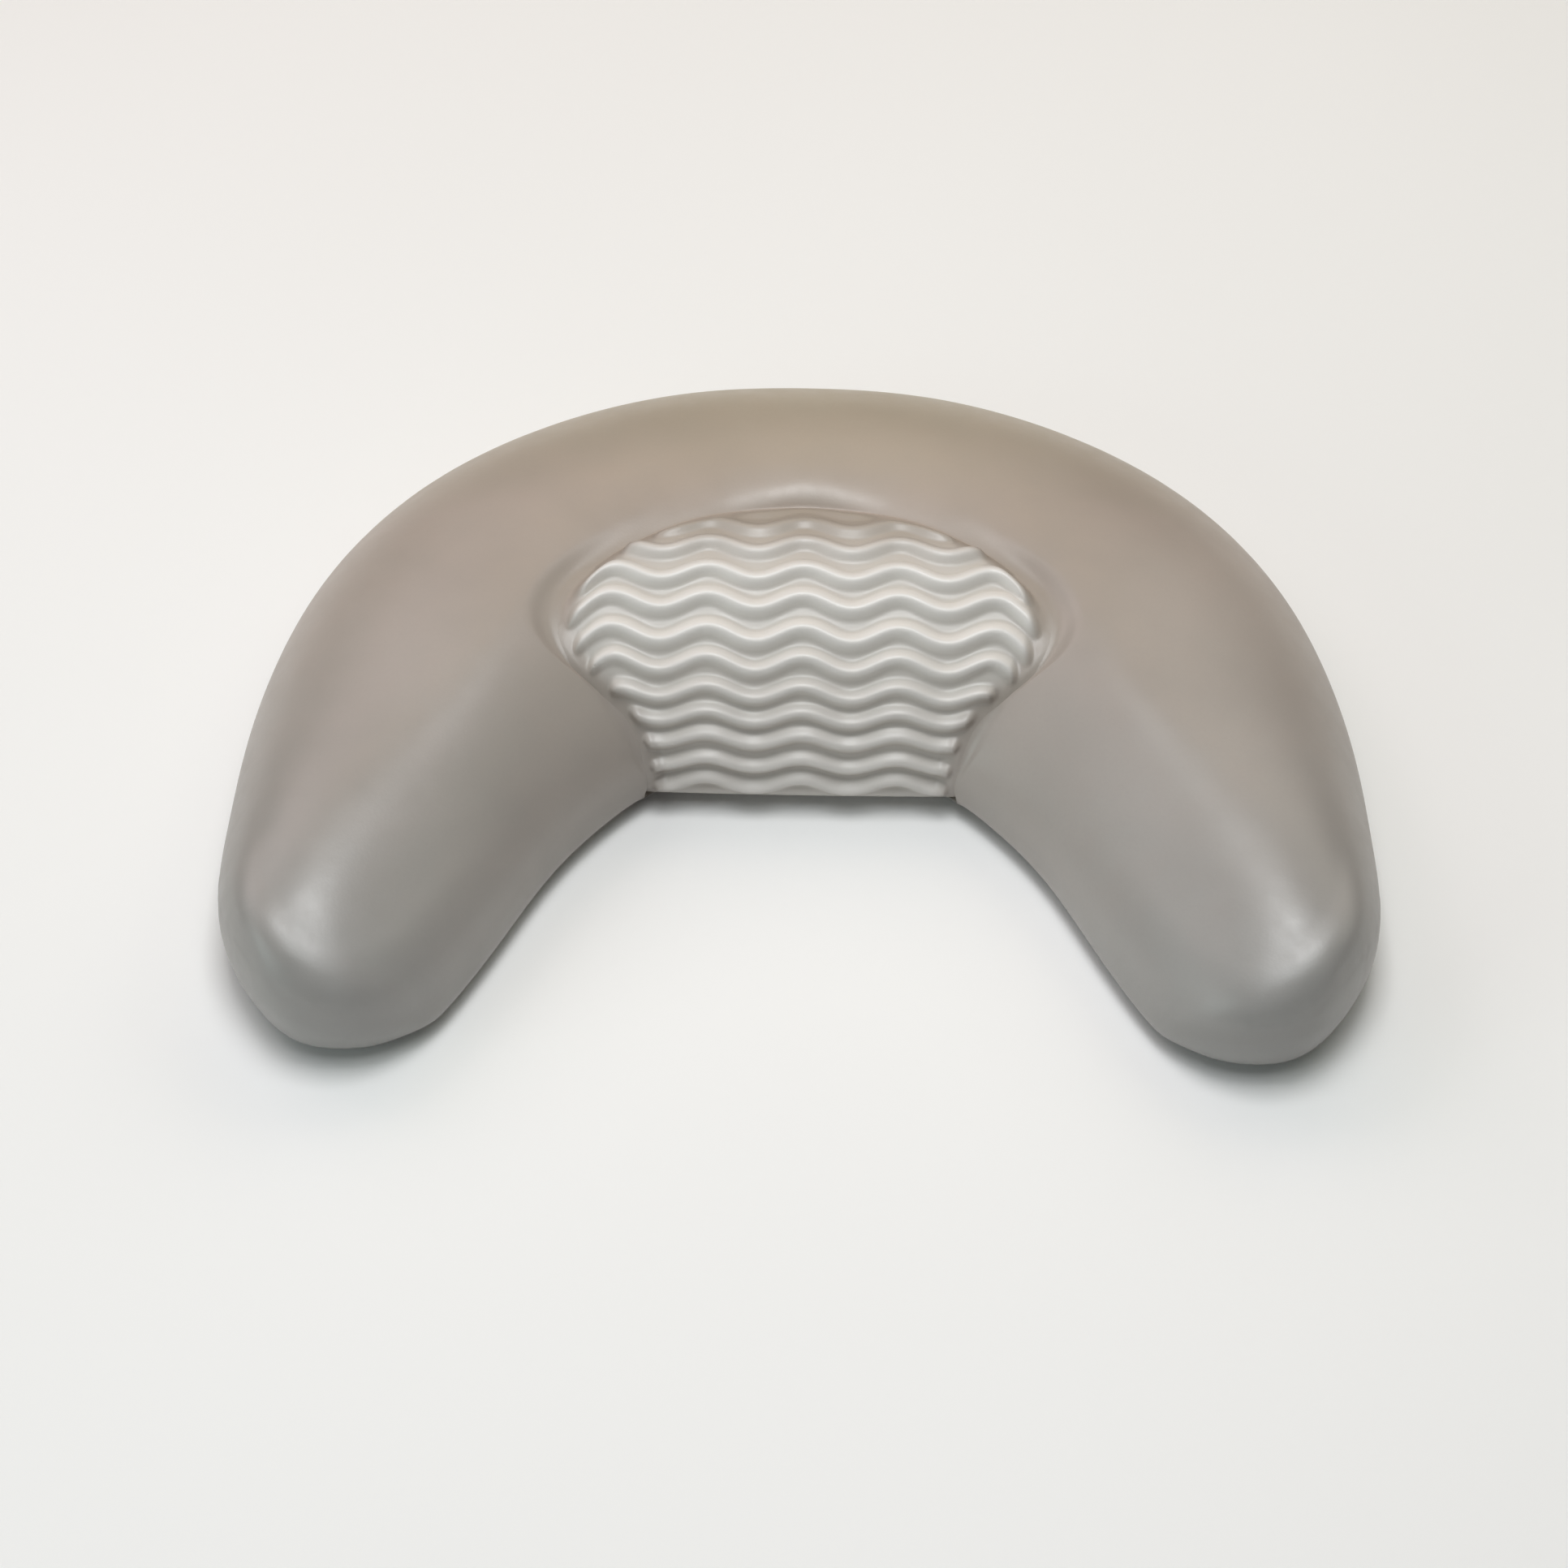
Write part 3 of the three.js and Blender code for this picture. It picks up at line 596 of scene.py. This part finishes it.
    # the edge's thin flange, then the wall of the plug under it
    mm = flat * (1, math.radians(ROLL_R))
    d = np.roll(mm, -1, axis=0) - np.roll(mm, 1, axis=0)
    d /= np.linalg.norm(d, axis=1, keepdims=True)
    k = np.clip((mm[:, 1] - math.radians(low) * ROLL_R) / 6.0, 0, 1)
    inset = mm + np.stack([-d[:, 1], d[:, 0]], 1) * ((FLANGE + 2 * PAD_GAP) * k * k * (3 - 2 * k))[:, None]
    inset /= (1, math.radians(ROLL_R))
    level = rho.ravel()[border]
    foot = ROLL_R - PAD_T
    rings = [on_roll(flat[:, 0], flat[:, 1], level - FLANGE_T)]
    for f in (0.0, 0.3, 0.65, 1.0):
        rings.append(on_roll(inset[:, 0], inset[:, 1], level - FLANGE_T - 0.05 + (foot - level + FLANGE_T + 0.05) * f))
    previous = border
    for ring_points in rings:
        start = len(verts)
        verts.extend(ring_points)
        current = list(range(start, start + n))
        for k in range(n):
            j = (k + 1) % n
            faces.append((previous[j], previous[k], current[k], current[j]))
        previous = current
    # underside
    scale = math.radians(ROLL_R)
    poly = [Vector((p[0], p[1] * scale)) for p in inset]
    inside = []
    for a in np.arange(8, 114, 6.0):
        w = float(w_of(a)) - 5
        for xx in np.arange(-72, 73, 6.0):
            if abs(xx) < w:
                inside.append(Vector((xx, a * scale)))
    vs, _, fs, ov, _, _ = delaunay_2d_cdt(poly + inside, [], [list(range(n))], 1, 1e-6)
    number = {}
    for k, v in enumerate(vs):
        src = [o for o in ov[k] if o < n]
        if src:
            number[k] = previous[src[0]]
        else:
            number[k] = len(verts)
            verts.append(on_roll(v[0], v[1] / scale, ROLL_R - PAD_T))
    for f in fs:
        faces.append(tuple(number[i] for i in f))
    pad = make("neck_pad_ribbed", verts, faces)
    pad.data.attributes.new("rib", "FLOAT", "POINT")
    value = np.zeros(len(pad.data.vertices), np.float32)
    value[: rib.size] = rib.ravel()
    pad.data.attributes["rib"].data.foreach_set("value", value)
    # the face is paler than the skin and takes the skin's colour towards its edge; a painted highlight makes it palest
    # over the middle rows, and painted shade takes it back to the skin's colour over the rows behind
    k = np.clip((side - 2.5) / 6.5, 0, 1)
    face = k * k * (3 - 2 * k) * np.interp(np.degrees(s / ROLL_R), [0, 14, 30, 46, 58, 80, 92, 104, 112], [0.66, 0.66, 0.66, 0.82, 0.95, 0.95, 0.5, 0.1, 0.0])
    pad.data.attributes.new("face", "FLOAT", "POINT")
    value[: face.size] = face.ravel()
    pad.data.attributes["face"].data.foreach_set("value", value)
    dim = np.clip((np.degrees(s / ROLL_R) - 88) / 14, 0, 1) * np.clip(side / 6, 0, 1)  # painted shade: the first rows behind are painted darker
    k = np.clip((8 - side) / 7, 0, 1)
    dim = np.maximum(dim, 0.7 * k * k * (3 - 2 * k) * np.interp(beside, PAINTED_SHADE_T, PAINTED_SHADE))  # painted shade too: the valley at both sides is painted darker
    pad.data.attributes.new("dim", "FLOAT", "POINT")
    value[: dim.size] = dim.ravel()
    pad.data.attributes["dim"].data.foreach_set("value", value)
    weld(pad, 2e-6)
    smooth_by_angle(pad, 55)
    return pad


# ------------------------------------------------------------------ back plate, sockets, cups, core
def plate_loop(d):
    u = np.concatenate([np.linspace(0, U_TIP, 130), np.linspace(U_TIP, U_IN, 50)[1:], np.linspace(U_IN, U_END, 90)[1:]])
    s = np.clip((u - 15.0) / 2.0, 0, 1)
    p = outline(u) + inward(u) * (d + (LIP_W_FRONT - LIP_W) * s * s * (3 - 2 * s))[:, None]
    return np.vstack([p, flip(p[-2:0:-1])])


def build_plate():
    steps = [(LIP_W + 1.0, 0.0), (LIP_W + 0.55, 0.15), (LIP_W + 0.4, 0.6), (LIP_W + 0.4, 3.3), (8.0, 3.3), (8.0, 5.4), (8.4, 5.8)]
    verts, faces, n = [], [], None
    for d, z in steps:
        loop = plate_loop(d)
        n = len(loop)
        verts.extend(np.column_stack([loop, np.full(n, z)]))
    for r in range(len(steps) - 1):
        for k in range(n):
            j = (k + 1) % n
            faces.append((r * n + k, r * n + j, (r + 1) * n + j, (r + 1) * n + k))
    for r in (0, len(steps) - 1):
        loop = [Vector((verts[r * n + k][0], verts[r * n + k][1])) for k in range(n)]
        vs, _, fs, ov, _, _ = delaunay_2d_cdt(loop, [], [list(range(n))], 1, 1e-6)
        for f in fs:
            faces.append(tuple(ov[i][0] + r * n for i in f))
    plate = make("back_plate_moulded", verts, faces)
    weld(plate, 1e-7)
    for x, y, _ in STATIONS:
        boss = turned("boss", rounded([(0, 7.5), (WELL_R + WELL_WALL, 7.5), (WELL_R + WELL_WALL, 1.0), (0, 1.0)], [0, 1.0, 0, 0]), 72, (x, y))
        cut(plate, boss, "UNION")
    for x, y, _ in STATIONS:
        well = turned("well", rounded([(0, 5.0), (WELL_R, 5.0), (WELL_R, 0.7), (WELL_R + 0.25, 0.2), (WELL_R + 0.8, -0.05), (WELL_R + 0.8, -2), (0, -2)], [0, 1.4, 0, 0, 0, 0, 0]), 72, (x, y))
        cut(plate, well, "DIFFERENCE")
        hole = turned("hole", [(0, 12), (7.3, 12), (7.3, 5.5), (7.7, 5.1), (7.7, 2), (0, 2)], 48, (x, y))
        cut(plate, hole, "DIFFERENCE")
    weld(plate, 2e-7, True)
    smooth_by_angle(plate, 32)
    return plate


def build_socket(i, x, y):
    p = [(0, SOCKET_TOP), (8.6, SOCKET_TOP), (8.6, SOCKET_FLANGE + 2), (11, SOCKET_FLANGE + 2), (11, SOCKET_FLANGE), (7, SOCKET_FLANGE), (7, SOCKET_LOW), (5.4, SOCKET_LOW), (4.3, SOCKET_LOW + 1.2), (4.3, SOCKET_LOW + 3.6), (6.8, SOCKET_LOW + 3.6), (6.8, SOCKET_TOP - 2), (0, SOCKET_TOP - 2)]
    r = [0, 1.2, 0.6, 0.5, 0.4, 0.2, 0.5, 0.4, 0.3, 0.3, 0.2, 0.6, 0]
    return turned(f"socket_{i}_moulded", rounded(p, r, 3), 48, (x, y))


def build_cup(i, x, y, way):
    hub, low = SOCKET_LOW - 0.3, -STANDOFF
    p = [(0, hub + 10.0), (3.4, hub + 9.3), (6.0, hub + 5.8), (6.0, hub + 4.25), (3.8, hub + 4.25), (3.8, hub), (6.4, hub), (9.2, hub - 1.35), (12.5, hub - 2.6), (16.5, low + 2.6), (20.0, low + 0.85), (20.0, low), (17.4, low), (14.2, low + 1.45), (10.5, low + 2.95), (5.5, low + 3.95), (0, low + 4.2)]
    r = [0, 2.0, 1.6, 0.6, 0.5, 0.6, 1.4, 2.0, 2.0, 2.0, 0.5, 0.15, 0.8, 2.0, 2.0, 2.5, 0]
    cup = turned(f"cup_{i}_soft", rounded(p, r, 4), 80)
    # the release tab: a rounded tongue
    outline_tab = [(18.4, -4.5)] + [(23.5 + 3 * math.cos(a), -1.5 + 3 * math.sin(a)) for a in np.linspace(-math.pi / 2, 0, 8)] + [(23.5 + 3 * math.cos(a), 1.5 + 3 * math.sin(a)) for a in np.linspace(0, math.pi / 2, 8)] + [(18.4, 4.5)]
    n, verts, faces = len(outline_tab), [], []
    middle = np.array([22.0, 0.0])
    for shrink, z in ((0.25, 0.0), (0.0, 0.25), (0.0, 0.75), (0.25, 1.0)):
        for q in outline_tab:
            v = middle - np.array(q)
            v = np.array(q) + v / np.linalg.norm(v) * shrink
            verts.append((v[0], v[1], low + z))
    for k in range(3):
        for j in range(n):
            m = (j + 1) % n
            faces.append((k * n + j, k * n + m, (k + 1) * n + m, (k + 1) * n + j))
    faces.append(tuple(range(n))[::-1])
    faces.append(tuple(3 * n + j for j in range(n)))
    tab = make("tab", verts, faces)
    weld(tab, 1e-7)
    cut(cup, tab, "UNION")
    turn = Matrix.Translation((x / 1000, (y + Y_SHIFT) / 1000, STANDOFF / 1000)) @ Matrix.Rotation(math.radians(way), 4, "Z") @ Matrix.Translation((0, -Y_SHIFT / 1000, -STANDOFF / 1000))
    cup.data.transform(turn)
    smooth_by_angle(cup, 40)
    return cup


def build_core():
    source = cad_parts["foam_core"].data.copy()
    core = bpy.data.objects.new("foam_core_block", source)
    bpy.context.scene.collection.objects.link(core)
    source.materials.clear()
    tree = BVHTree.FromPolygons([v.co for v in skin.data.vertices], [tuple(f.vertices) for f in skin.data.polygons])

    def one_block(rounds):
        m = core.modifiers.new("remesh", "REMESH")
        m.mode, m.voxel_size = "VOXEL", 0.003
        m.use_smooth_shade = True
        m = core.modifiers.new("soften", "SMOOTH")
        m.factor, m.iterations = 0.5, rounds
        applied(core)
        bm = bmesh.new()
        bm.from_mesh(core.data)
        left, blocks = set(bm.verts), []
        while left:
            block, queue = set(), [left.pop()]
            while queue:
                v = queue.pop()
                block.add(v)
                for e in v.link_edges:
                    o = e.other_vert(v)
                    if o in left:
                        left.remove(o)
                        queue.append(o)
            blocks.append(block)
        blocks.sort(key=len)
        bmesh.ops.delete(bm, geom=[v for b in blocks[:-1] for v in b], context="VERTS")
        bm.to_mesh(core.data)
        bm.free()

    def keep_inside(clear):
        for _ in range(2):
            for v in core.data.vertices:
                p, n, _, far = tree.find_nearest(v.co)
                if (p - v.co).dot(n) < clear and far < 0.015:
                    v.co = p - n * clear

    one_block(6)
    keep_inside((SKIN_T + 1.4) / 1000)
    one_block(4)
    # room over each socket for its press
    top = SOCKET_TOP + 4.2
    for v in core.data.vertices:
        x, y, z = v.co * 1000 - Vector((0, Y_SHIFT, STANDOFF))
        if z < top and min(math.hypot(x - sx, y - sy) for sx, sy, _ in STATIONS) < 10.4:
            v.co.z = (top + STANDOFF) / 1000
    core.data.update()
    return core


# ------------------------------------------------------------------ materials
class Tree:
    def __init__(self, name):
        self.material = bpy.data.materials.new(name)
        self.material.use_nodes = True
        self.tree = self.material.node_tree
        self.shader = self.tree.nodes["Principled BSDF"]

    def node(self, kind, **values):
        n = self.tree.nodes.new(kind)
        for k, v in values.items():
            if k.startswith("_"):
                setattr(n, k[1:], v)
            else:
                n.inputs[k.replace("__", " ")].default_value = v
        return n

    def link(self, a, b):
        self.tree.links.new(a, b)

    def coords(self):
        return self.node("ShaderNodeTexCoord").outputs["Object"]

    def noise(self, scale, detail=4.0, roughness=0.55, where=None):
        n = self.node("ShaderNodeTexNoise", Scale=scale, Detail=detail, Roughness=roughness)
        self.link(where or self.coords(), n.inputs["Vector"])
        return n.outputs["Fac"]

    def ramp(self, fac, stops):
        r = self.node("ShaderNodeValToRGB")
        while len(r.color_ramp.elements) < len(stops):
            r.color_ramp.elements.new(0.5)
        for e, (pos, colour) in zip(r.color_ramp.elements, stops):
            e.position = pos
            e.color = (*colour, 1.0) if len(colour) == 3 else colour
        self.link(fac, r.inputs["Fac"])
        return r.outputs["Color"]

    def mix(self, fac, a, b, blend="MIX"):
        m = self.tree.nodes.new("ShaderNodeMix")
        m.data_type, m.blend_type = "RGBA", blend
        for value, name in ((fac, 0), (a, 6), (b, 7)):
            if hasattr(value, "is_linked"):
                self.link(value, m.inputs[name])
            elif name == 0:
                m.inputs[0].default_value = value
            else:
                m.inputs[name].default_value = (*value, 1.0)
        return m.outputs[2]

    def span(self, fac, low, high, a=0.0, b=1.0):
        m = self.node("ShaderNodeMapRange")
        m.inputs["From Min"].default_value, m.inputs["From Max"].default_value = a, b
        m.inputs["To Min"].default_value, m.inputs["To Max"].default_value = low, high
        self.link(fac, m.inputs["Value"])
        return m.outputs["Result"]

    def bump(self, height, strength, distance, normal=None):
        b = self.node("ShaderNodeBump", Strength=strength, Distance=distance)
        self.link(height, b.inputs["Height"])
        if normal is not None:
            self.link(normal, b.inputs["Normal"])
        return b.outputs["Normal"]


# darker and lighter ground, warmer patches, specks
SKIN_COLOURS = [(0.402, 0.342, 0.284), (0.473, 0.410, 0.346), (0.449, 0.365, 0.301), (0.353, 0.305, 0.259)]
PAD_COLOURS = [(0.620, 0.590, 0.545), (0.690, 0.660, 0.612), (0.660, 0.610, 0.565), (0.52, 0.49, 0.46)]
# painted light: a tint over the skin, cooler and darker at the ends of the arms and warmer at the closed back, where
# the lamps colour it so
PAINTED_LIGHT_TINT = [(0.0, (0.71, 0.81, 0.93)), (0.4, (0.83, 0.865, 0.93)), (0.68, (0.94, 0.93, 0.955)), (0.93, (0.90, 0.905, 0.79))]


def skin_material(name, ribs):
    t = Tree(name)
    where = t.coords()
    broad = t.noise(14, 3, 0.5, where)
    patch = t.noise(55, 4, 0.6, where)
    fine = t.noise(900, 2, 0.5, where)

    def ground(low, high, warm, speck):
        colour = t.ramp(broad, [(0.3, low), (0.7, high)])
        colour = t.mix(t.span(patch, 0.0, 0.35, 0.35, 0.75), colour, warm)
        return t.mix(t.span(fine, 0.0, 0.10, 0.4, 0.8), colour, speck)

    along = t.node("ShaderNodeSeparateXYZ")
    t.link(where, along.inputs[0])
    # painted light: the skin is tinted cooler and darker towards the ends of the arms, warmer at the back
    painted_light_tint = t.ramp(t.span(along.outputs["Y"], 0.0, 1.0, -0.14, 0.14), PAINTED_LIGHT_TINT)
    colour = t.mix(1.0, ground(*SKIN_COLOURS), painted_light_tint, "MULTIPLY")
    rough = t.span(t.noise(120, 4, 0.6, where), 0.36 if ribs else 0.33, 0.46 if ribs else 0.42, 0.3, 0.7)
    if ribs:
        rib = t.node("ShaderNodeAttribute", _attribute_name="rib").outputs["Fac"]
        # how far the pad takes its paler colour; it carries a painted highlight over the middle rows and painted shade
        # over the rows behind
        face = t.node("ShaderNodeAttribute", _attribute_name="face").outputs["Fac"]
        # the pad's paler ground, with a painted highlight that lightens the rib crests
        pale = t.mix(t.span(rib, 0.0, 0.6, 0.2, 1.0), ground(*PAD_COLOURS), (0.88, 0.855, 0.83))
        # painted shade: the grooves between the ribs are painted darker
        pale = t.mix(t.span(rib, 0.26, 0.0, 0.0, 0.3), pale, (0.33, 0.305, 0.275))
        colour = t.mix(face, colour, pale)
    # painted shade: darker in the valley beside the pad and over the pad's first rows behind
    dim = t.node("ShaderNodeAttribute", _attribute_name="dim").outputs["Fac"]
    colour = t.mix(t.span(dim, 0.0, 0.38), colour, (0.25, 0.215, 0.165))
    t.link(colour, t.shader.inputs["Base Color"])
    t.link(rough, t.shader.inputs["Roughness"])
    # moulded grain: fine pebbles over a slight unevenness
    cells = t.node("ShaderNodeTexVoronoi", Scale=1150.0)
    t.link(where, cells.inputs["Vector"])
    normal = t.bump(t.noise(38, 3, 0.5, where), 0.12, 0.0012)
    normal = t.bump(cells.outputs["Distance"], 0.10, 0.00012, normal)
    t.link(normal, t.shader.inputs["Normal"])
    t.shader.inputs["IOR"].default_value = 1.48
    t.shader.inputs["Specular IOR Level"].default_value = 0.8
    t.shader.inputs["Coat Weight"].default_value = 0.0
    return t.material


def foam_material():
    t = Tree("open_cell_foam")
    where = t.coords()
    cells = t.node("ShaderNodeTexVoronoi", Scale=700.0)
    t.link(where, cells.inputs["Vector"])
    t.link(t.ramp(cells.outputs["Distance"], [(0.1, (0.52, 0.47, 0.36)), (0.6, (0.76, 0.71, 0.60))]), t.shader.inputs["Base Color"])
    t.link(t.span(t.noise(60, 3, 0.5, where), 0.85, 0.98), t.shader.inputs["Roughness"])
    t.link(t.bump(cells.outputs["Distance"], 0.7, 0.0006), t.shader.inputs["Normal"])
    return t.material


def plate_material():
    t = Tree("plate_plastic")
    where = t.coords()
    t.link(t.ramp(t.noise(40, 4, 0.6, where), [(0.3, (0.130, 0.120, 0.110)), (0.7, (0.165, 0.152, 0.140))]), t.shader.inputs["Base Color"])
    t.link(t.span(t.noise(220, 4, 0.6, where), 0.46, 0.62, 0.3, 0.7), t.shader.inputs["Roughness"])
    t.link(t.bump(t.noise(1600, 2, 0.5, where), 0.25, 0.0002), t.shader.inputs["Normal"])
    return t.material


def socket_material():
    t = Tree("socket_plastic")
    where = t.coords()
    t.link(t.ramp(t.noise(90, 3, 0.5, where), [(0.3, (0.66, 0.65, 0.62)), (0.7, (0.74, 0.73, 0.70))]), t.shader.inputs["Base Color"])
    t.link(t.span(t.noise(300, 3, 0.5, where), 0.28, 0.42, 0.3, 0.7), t.shader.inputs["Roughness"])
    t.link(t.bump(t.noise(1200, 2, 0.5, where), 0.08, 0.0001), t.shader.inputs["Normal"])
    return t.material


def cup_material():
    t = Tree("cup_vinyl")
    where = t.coords()
    t.link(t.ramp(t.noise(70, 3, 0.5, where), [(0.3, (0.66, 0.70, 0.70)), (0.7, (0.78, 0.82, 0.82))]), t.shader.inputs["Base Color"])
    t.link(t.span(t.noise(160, 3, 0.5, where), 0.16, 0.30, 0.3, 0.7), t.shader.inputs["Roughness"])
    t.link(t.bump(t.noise(420, 2, 0.5, where), 0.06, 0.0003), t.shader.inputs["Normal"])
    t.shader.inputs["Transmission Weight"].default_value = 0.55
    t.shader.inputs["IOR"].default_value = 1.45
    return t.material


# ------------------------------------------------------------------ assembly
def finish_piece(obj, material, body, node):
    obj.data.materials.clear()
    obj.data.materials.append(material)
    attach(obj, body)
    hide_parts(node)


skin = build_skin()
thick = skin.vertex_groups.new(name="thick")
for v in skin.data.vertices:
    under = abs(v.co.x) < 0.058 and v.co.z < STANDOFF / 1000 + 0.0016 and v.co.y < (16 + Y_SHIFT) / 1000
    thick.add([v.index], 0.3 if under else 1.0, "REPLACE")
shell = skin.modifiers.new("shell", "SOLIDIFY")
shell.vertex_group = "thick"
shell.thickness, shell.offset, shell.use_even_offset, shell.use_rim = SKIN_T / 1000, -1.0, False, True
finish_piece(skin, skin_material("moulded_skin", False), "body", "pillow_skin")

pad = build_pad()
finish_piece(pad, skin_material("ribbed_skin", True), "body", "neck_pad")

core = build_core()
finish_piece(core, foam_material(), "body", "foam_core")

plate = build_plate()
finish_piece(plate, plate_material(), "body", "back_plate")

socket_look, cup_look = socket_material(), cup_material()
for i, (sx, sy, way) in enumerate(STATIONS, 1):
    finish_piece(build_socket(i, sx, sy), socket_look, f"socket_{i}", f"cup_socket_{i}")
    finish_piece(build_cup(i, sx, sy, way), cup_look, f"cup_{i}", f"suction_cup_{i}")

# ------------------------------------------------------------------ stage, camera, light
floor_mesh = bpy.data.meshes.new("floor")
floor_mesh.from_pydata([(-4, -4, 0), (4, -4, 0), (4, 4, 0), (-4, 4, 0)], [], [(0, 1, 2, 3)])
floor = bpy.data.objects.new("floor", floor_mesh)
bpy.context.scene.collection.objects.link(floor)
ft = Tree("pale_floor")
ft.link(ft.ramp(ft.noise(1.5, 2, 0.5), [(0.3, (0.90, 0.90, 0.89)), (0.7, (0.93, 0.93, 0.925))]), ft.shader.inputs["Base Color"])
ft.shader.inputs["Roughness"].default_value = 0.7
floor_mesh.materials.append(ft.material)

ELEVATION, DISTANCE, FOCAL_PX, FRAME_PX = 48.0, 1150.0, 4423.08, 1932.0
TARGET, TARGET_PX, ROLL = (0.0, 20.0, 25.0), (988.47, 862.47), 0.965


def aim_camera():
    e, r = math.radians(ELEVATION), math.radians(ROLL)
    back, right = np.array([0, -math.cos(e), math.sin(e)]), np.array([1.0, 0, 0])
    up = np.cross(back, right)
    eye = np.array(TARGET) + back * DISTANCE
    dx, dy = FRAME_PX / 2 - TARGET_PX[0], FRAME_PX / 2 - TARGET_PX[1]
    x, y = math.cos(r) * dx + math.sin(r) * dy, -math.sin(r) * dx + math.cos(r) * dy
    look = -back + right * (x / FOCAL_PX) - up * (y / FOCAL_PX)
    look /= np.linalg.norm(look)
    side = np.cross(look, up)
    side /= np.linalg.norm(side)
    m = np.eye(4)
    m[:3, 0], m[:3, 1], m[:3, 2], m[:3, 3] = side, np.cross(side, look), -look, place([eye])[0]
    data = bpy.data.cameras.new("camera")
    data.sensor_width, data.lens = 36.0, 36.0 * FOCAL_PX / FRAME_PX
    data.clip_start, data.clip_end = 0.05, 50
    cam = bpy.data.objects.new("camera", data)
    bpy.context.scene.collection.objects.link(cam)
    cam.matrix_world = Matrix(m.tolist()) @ Matrix.Rotation(r, 4, "Z")
    bpy.context.scene.camera = cam


def area(name, azimuth, elevation, size, power, colour, wide=1.0, distance=1.6):
    """A soft light, aimed at the pillow. Azimuth 0 is the camera's side, 90 the right."""
    a, e = math.radians(azimuth), math.radians(elevation)
    d = Vector((math.sin(a) * math.cos(e), -math.cos(a) * math.cos(e), math.sin(e)))
    data = bpy.data.lights.new(name, "AREA")
    data.shape, data.size, data.size_y, data.energy, data.color = "RECTANGLE", size * wide, size, power, colour
    obj = bpy.data.objects.new(name, data)
    bpy.context.scene.collection.objects.link(obj)
    obj.location = d * distance + Vector((0, 0, 0.03))
    obj.rotation_mode = "QUATERNION"
    obj.rotation_quaternion = d.to_track_quat("Z", "Y")


aim_camera()
LIGHTS = [
    ("top", 0, 90, 0.6, 11.2, (0.97, 0.985, 1.0)),
    ("front_top", 0, 72, 0.5, 5.2, (0.95, 0.985, 1.0), 1.8),
    ("front", 0, 38, 0.9, 1.0, (0.95, 0.985, 1.0)),
    ("left_low", -60, 18, 0.9, 4.4, (0.86, 1.0, 0.97)),
    ("left", -98, 42, 0.9, 2.2, (0.97, 0.98, 1.0)),
    ("back_left", -133, 42, 0.9, 4.0, (1.0, 0.83, 0.82)),
    ("back", 180, 45, 0.9, 2.6, (1.0, 0.78, 0.52)),
    ("back_right", 140, 42, 0.9, 2.9, (1.0, 0.93, 0.82)),
    ("right", 98, 42, 0.9, 1.3, (0.95, 1.0, 0.80)),
]
for values in LIGHTS:
    area(*values)
world = bpy.data.worlds.new("studio")
world.use_nodes = True
world.node_tree.nodes["Background"].inputs["Color"].default_value = (1.0, 0.99, 0.97, 1.0)
world.node_tree.nodes["Background"].inputs["Strength"].default_value = 0.01
bpy.context.scene.world = world
bpy.context.scene.view_settings.view_transform = "Standard"
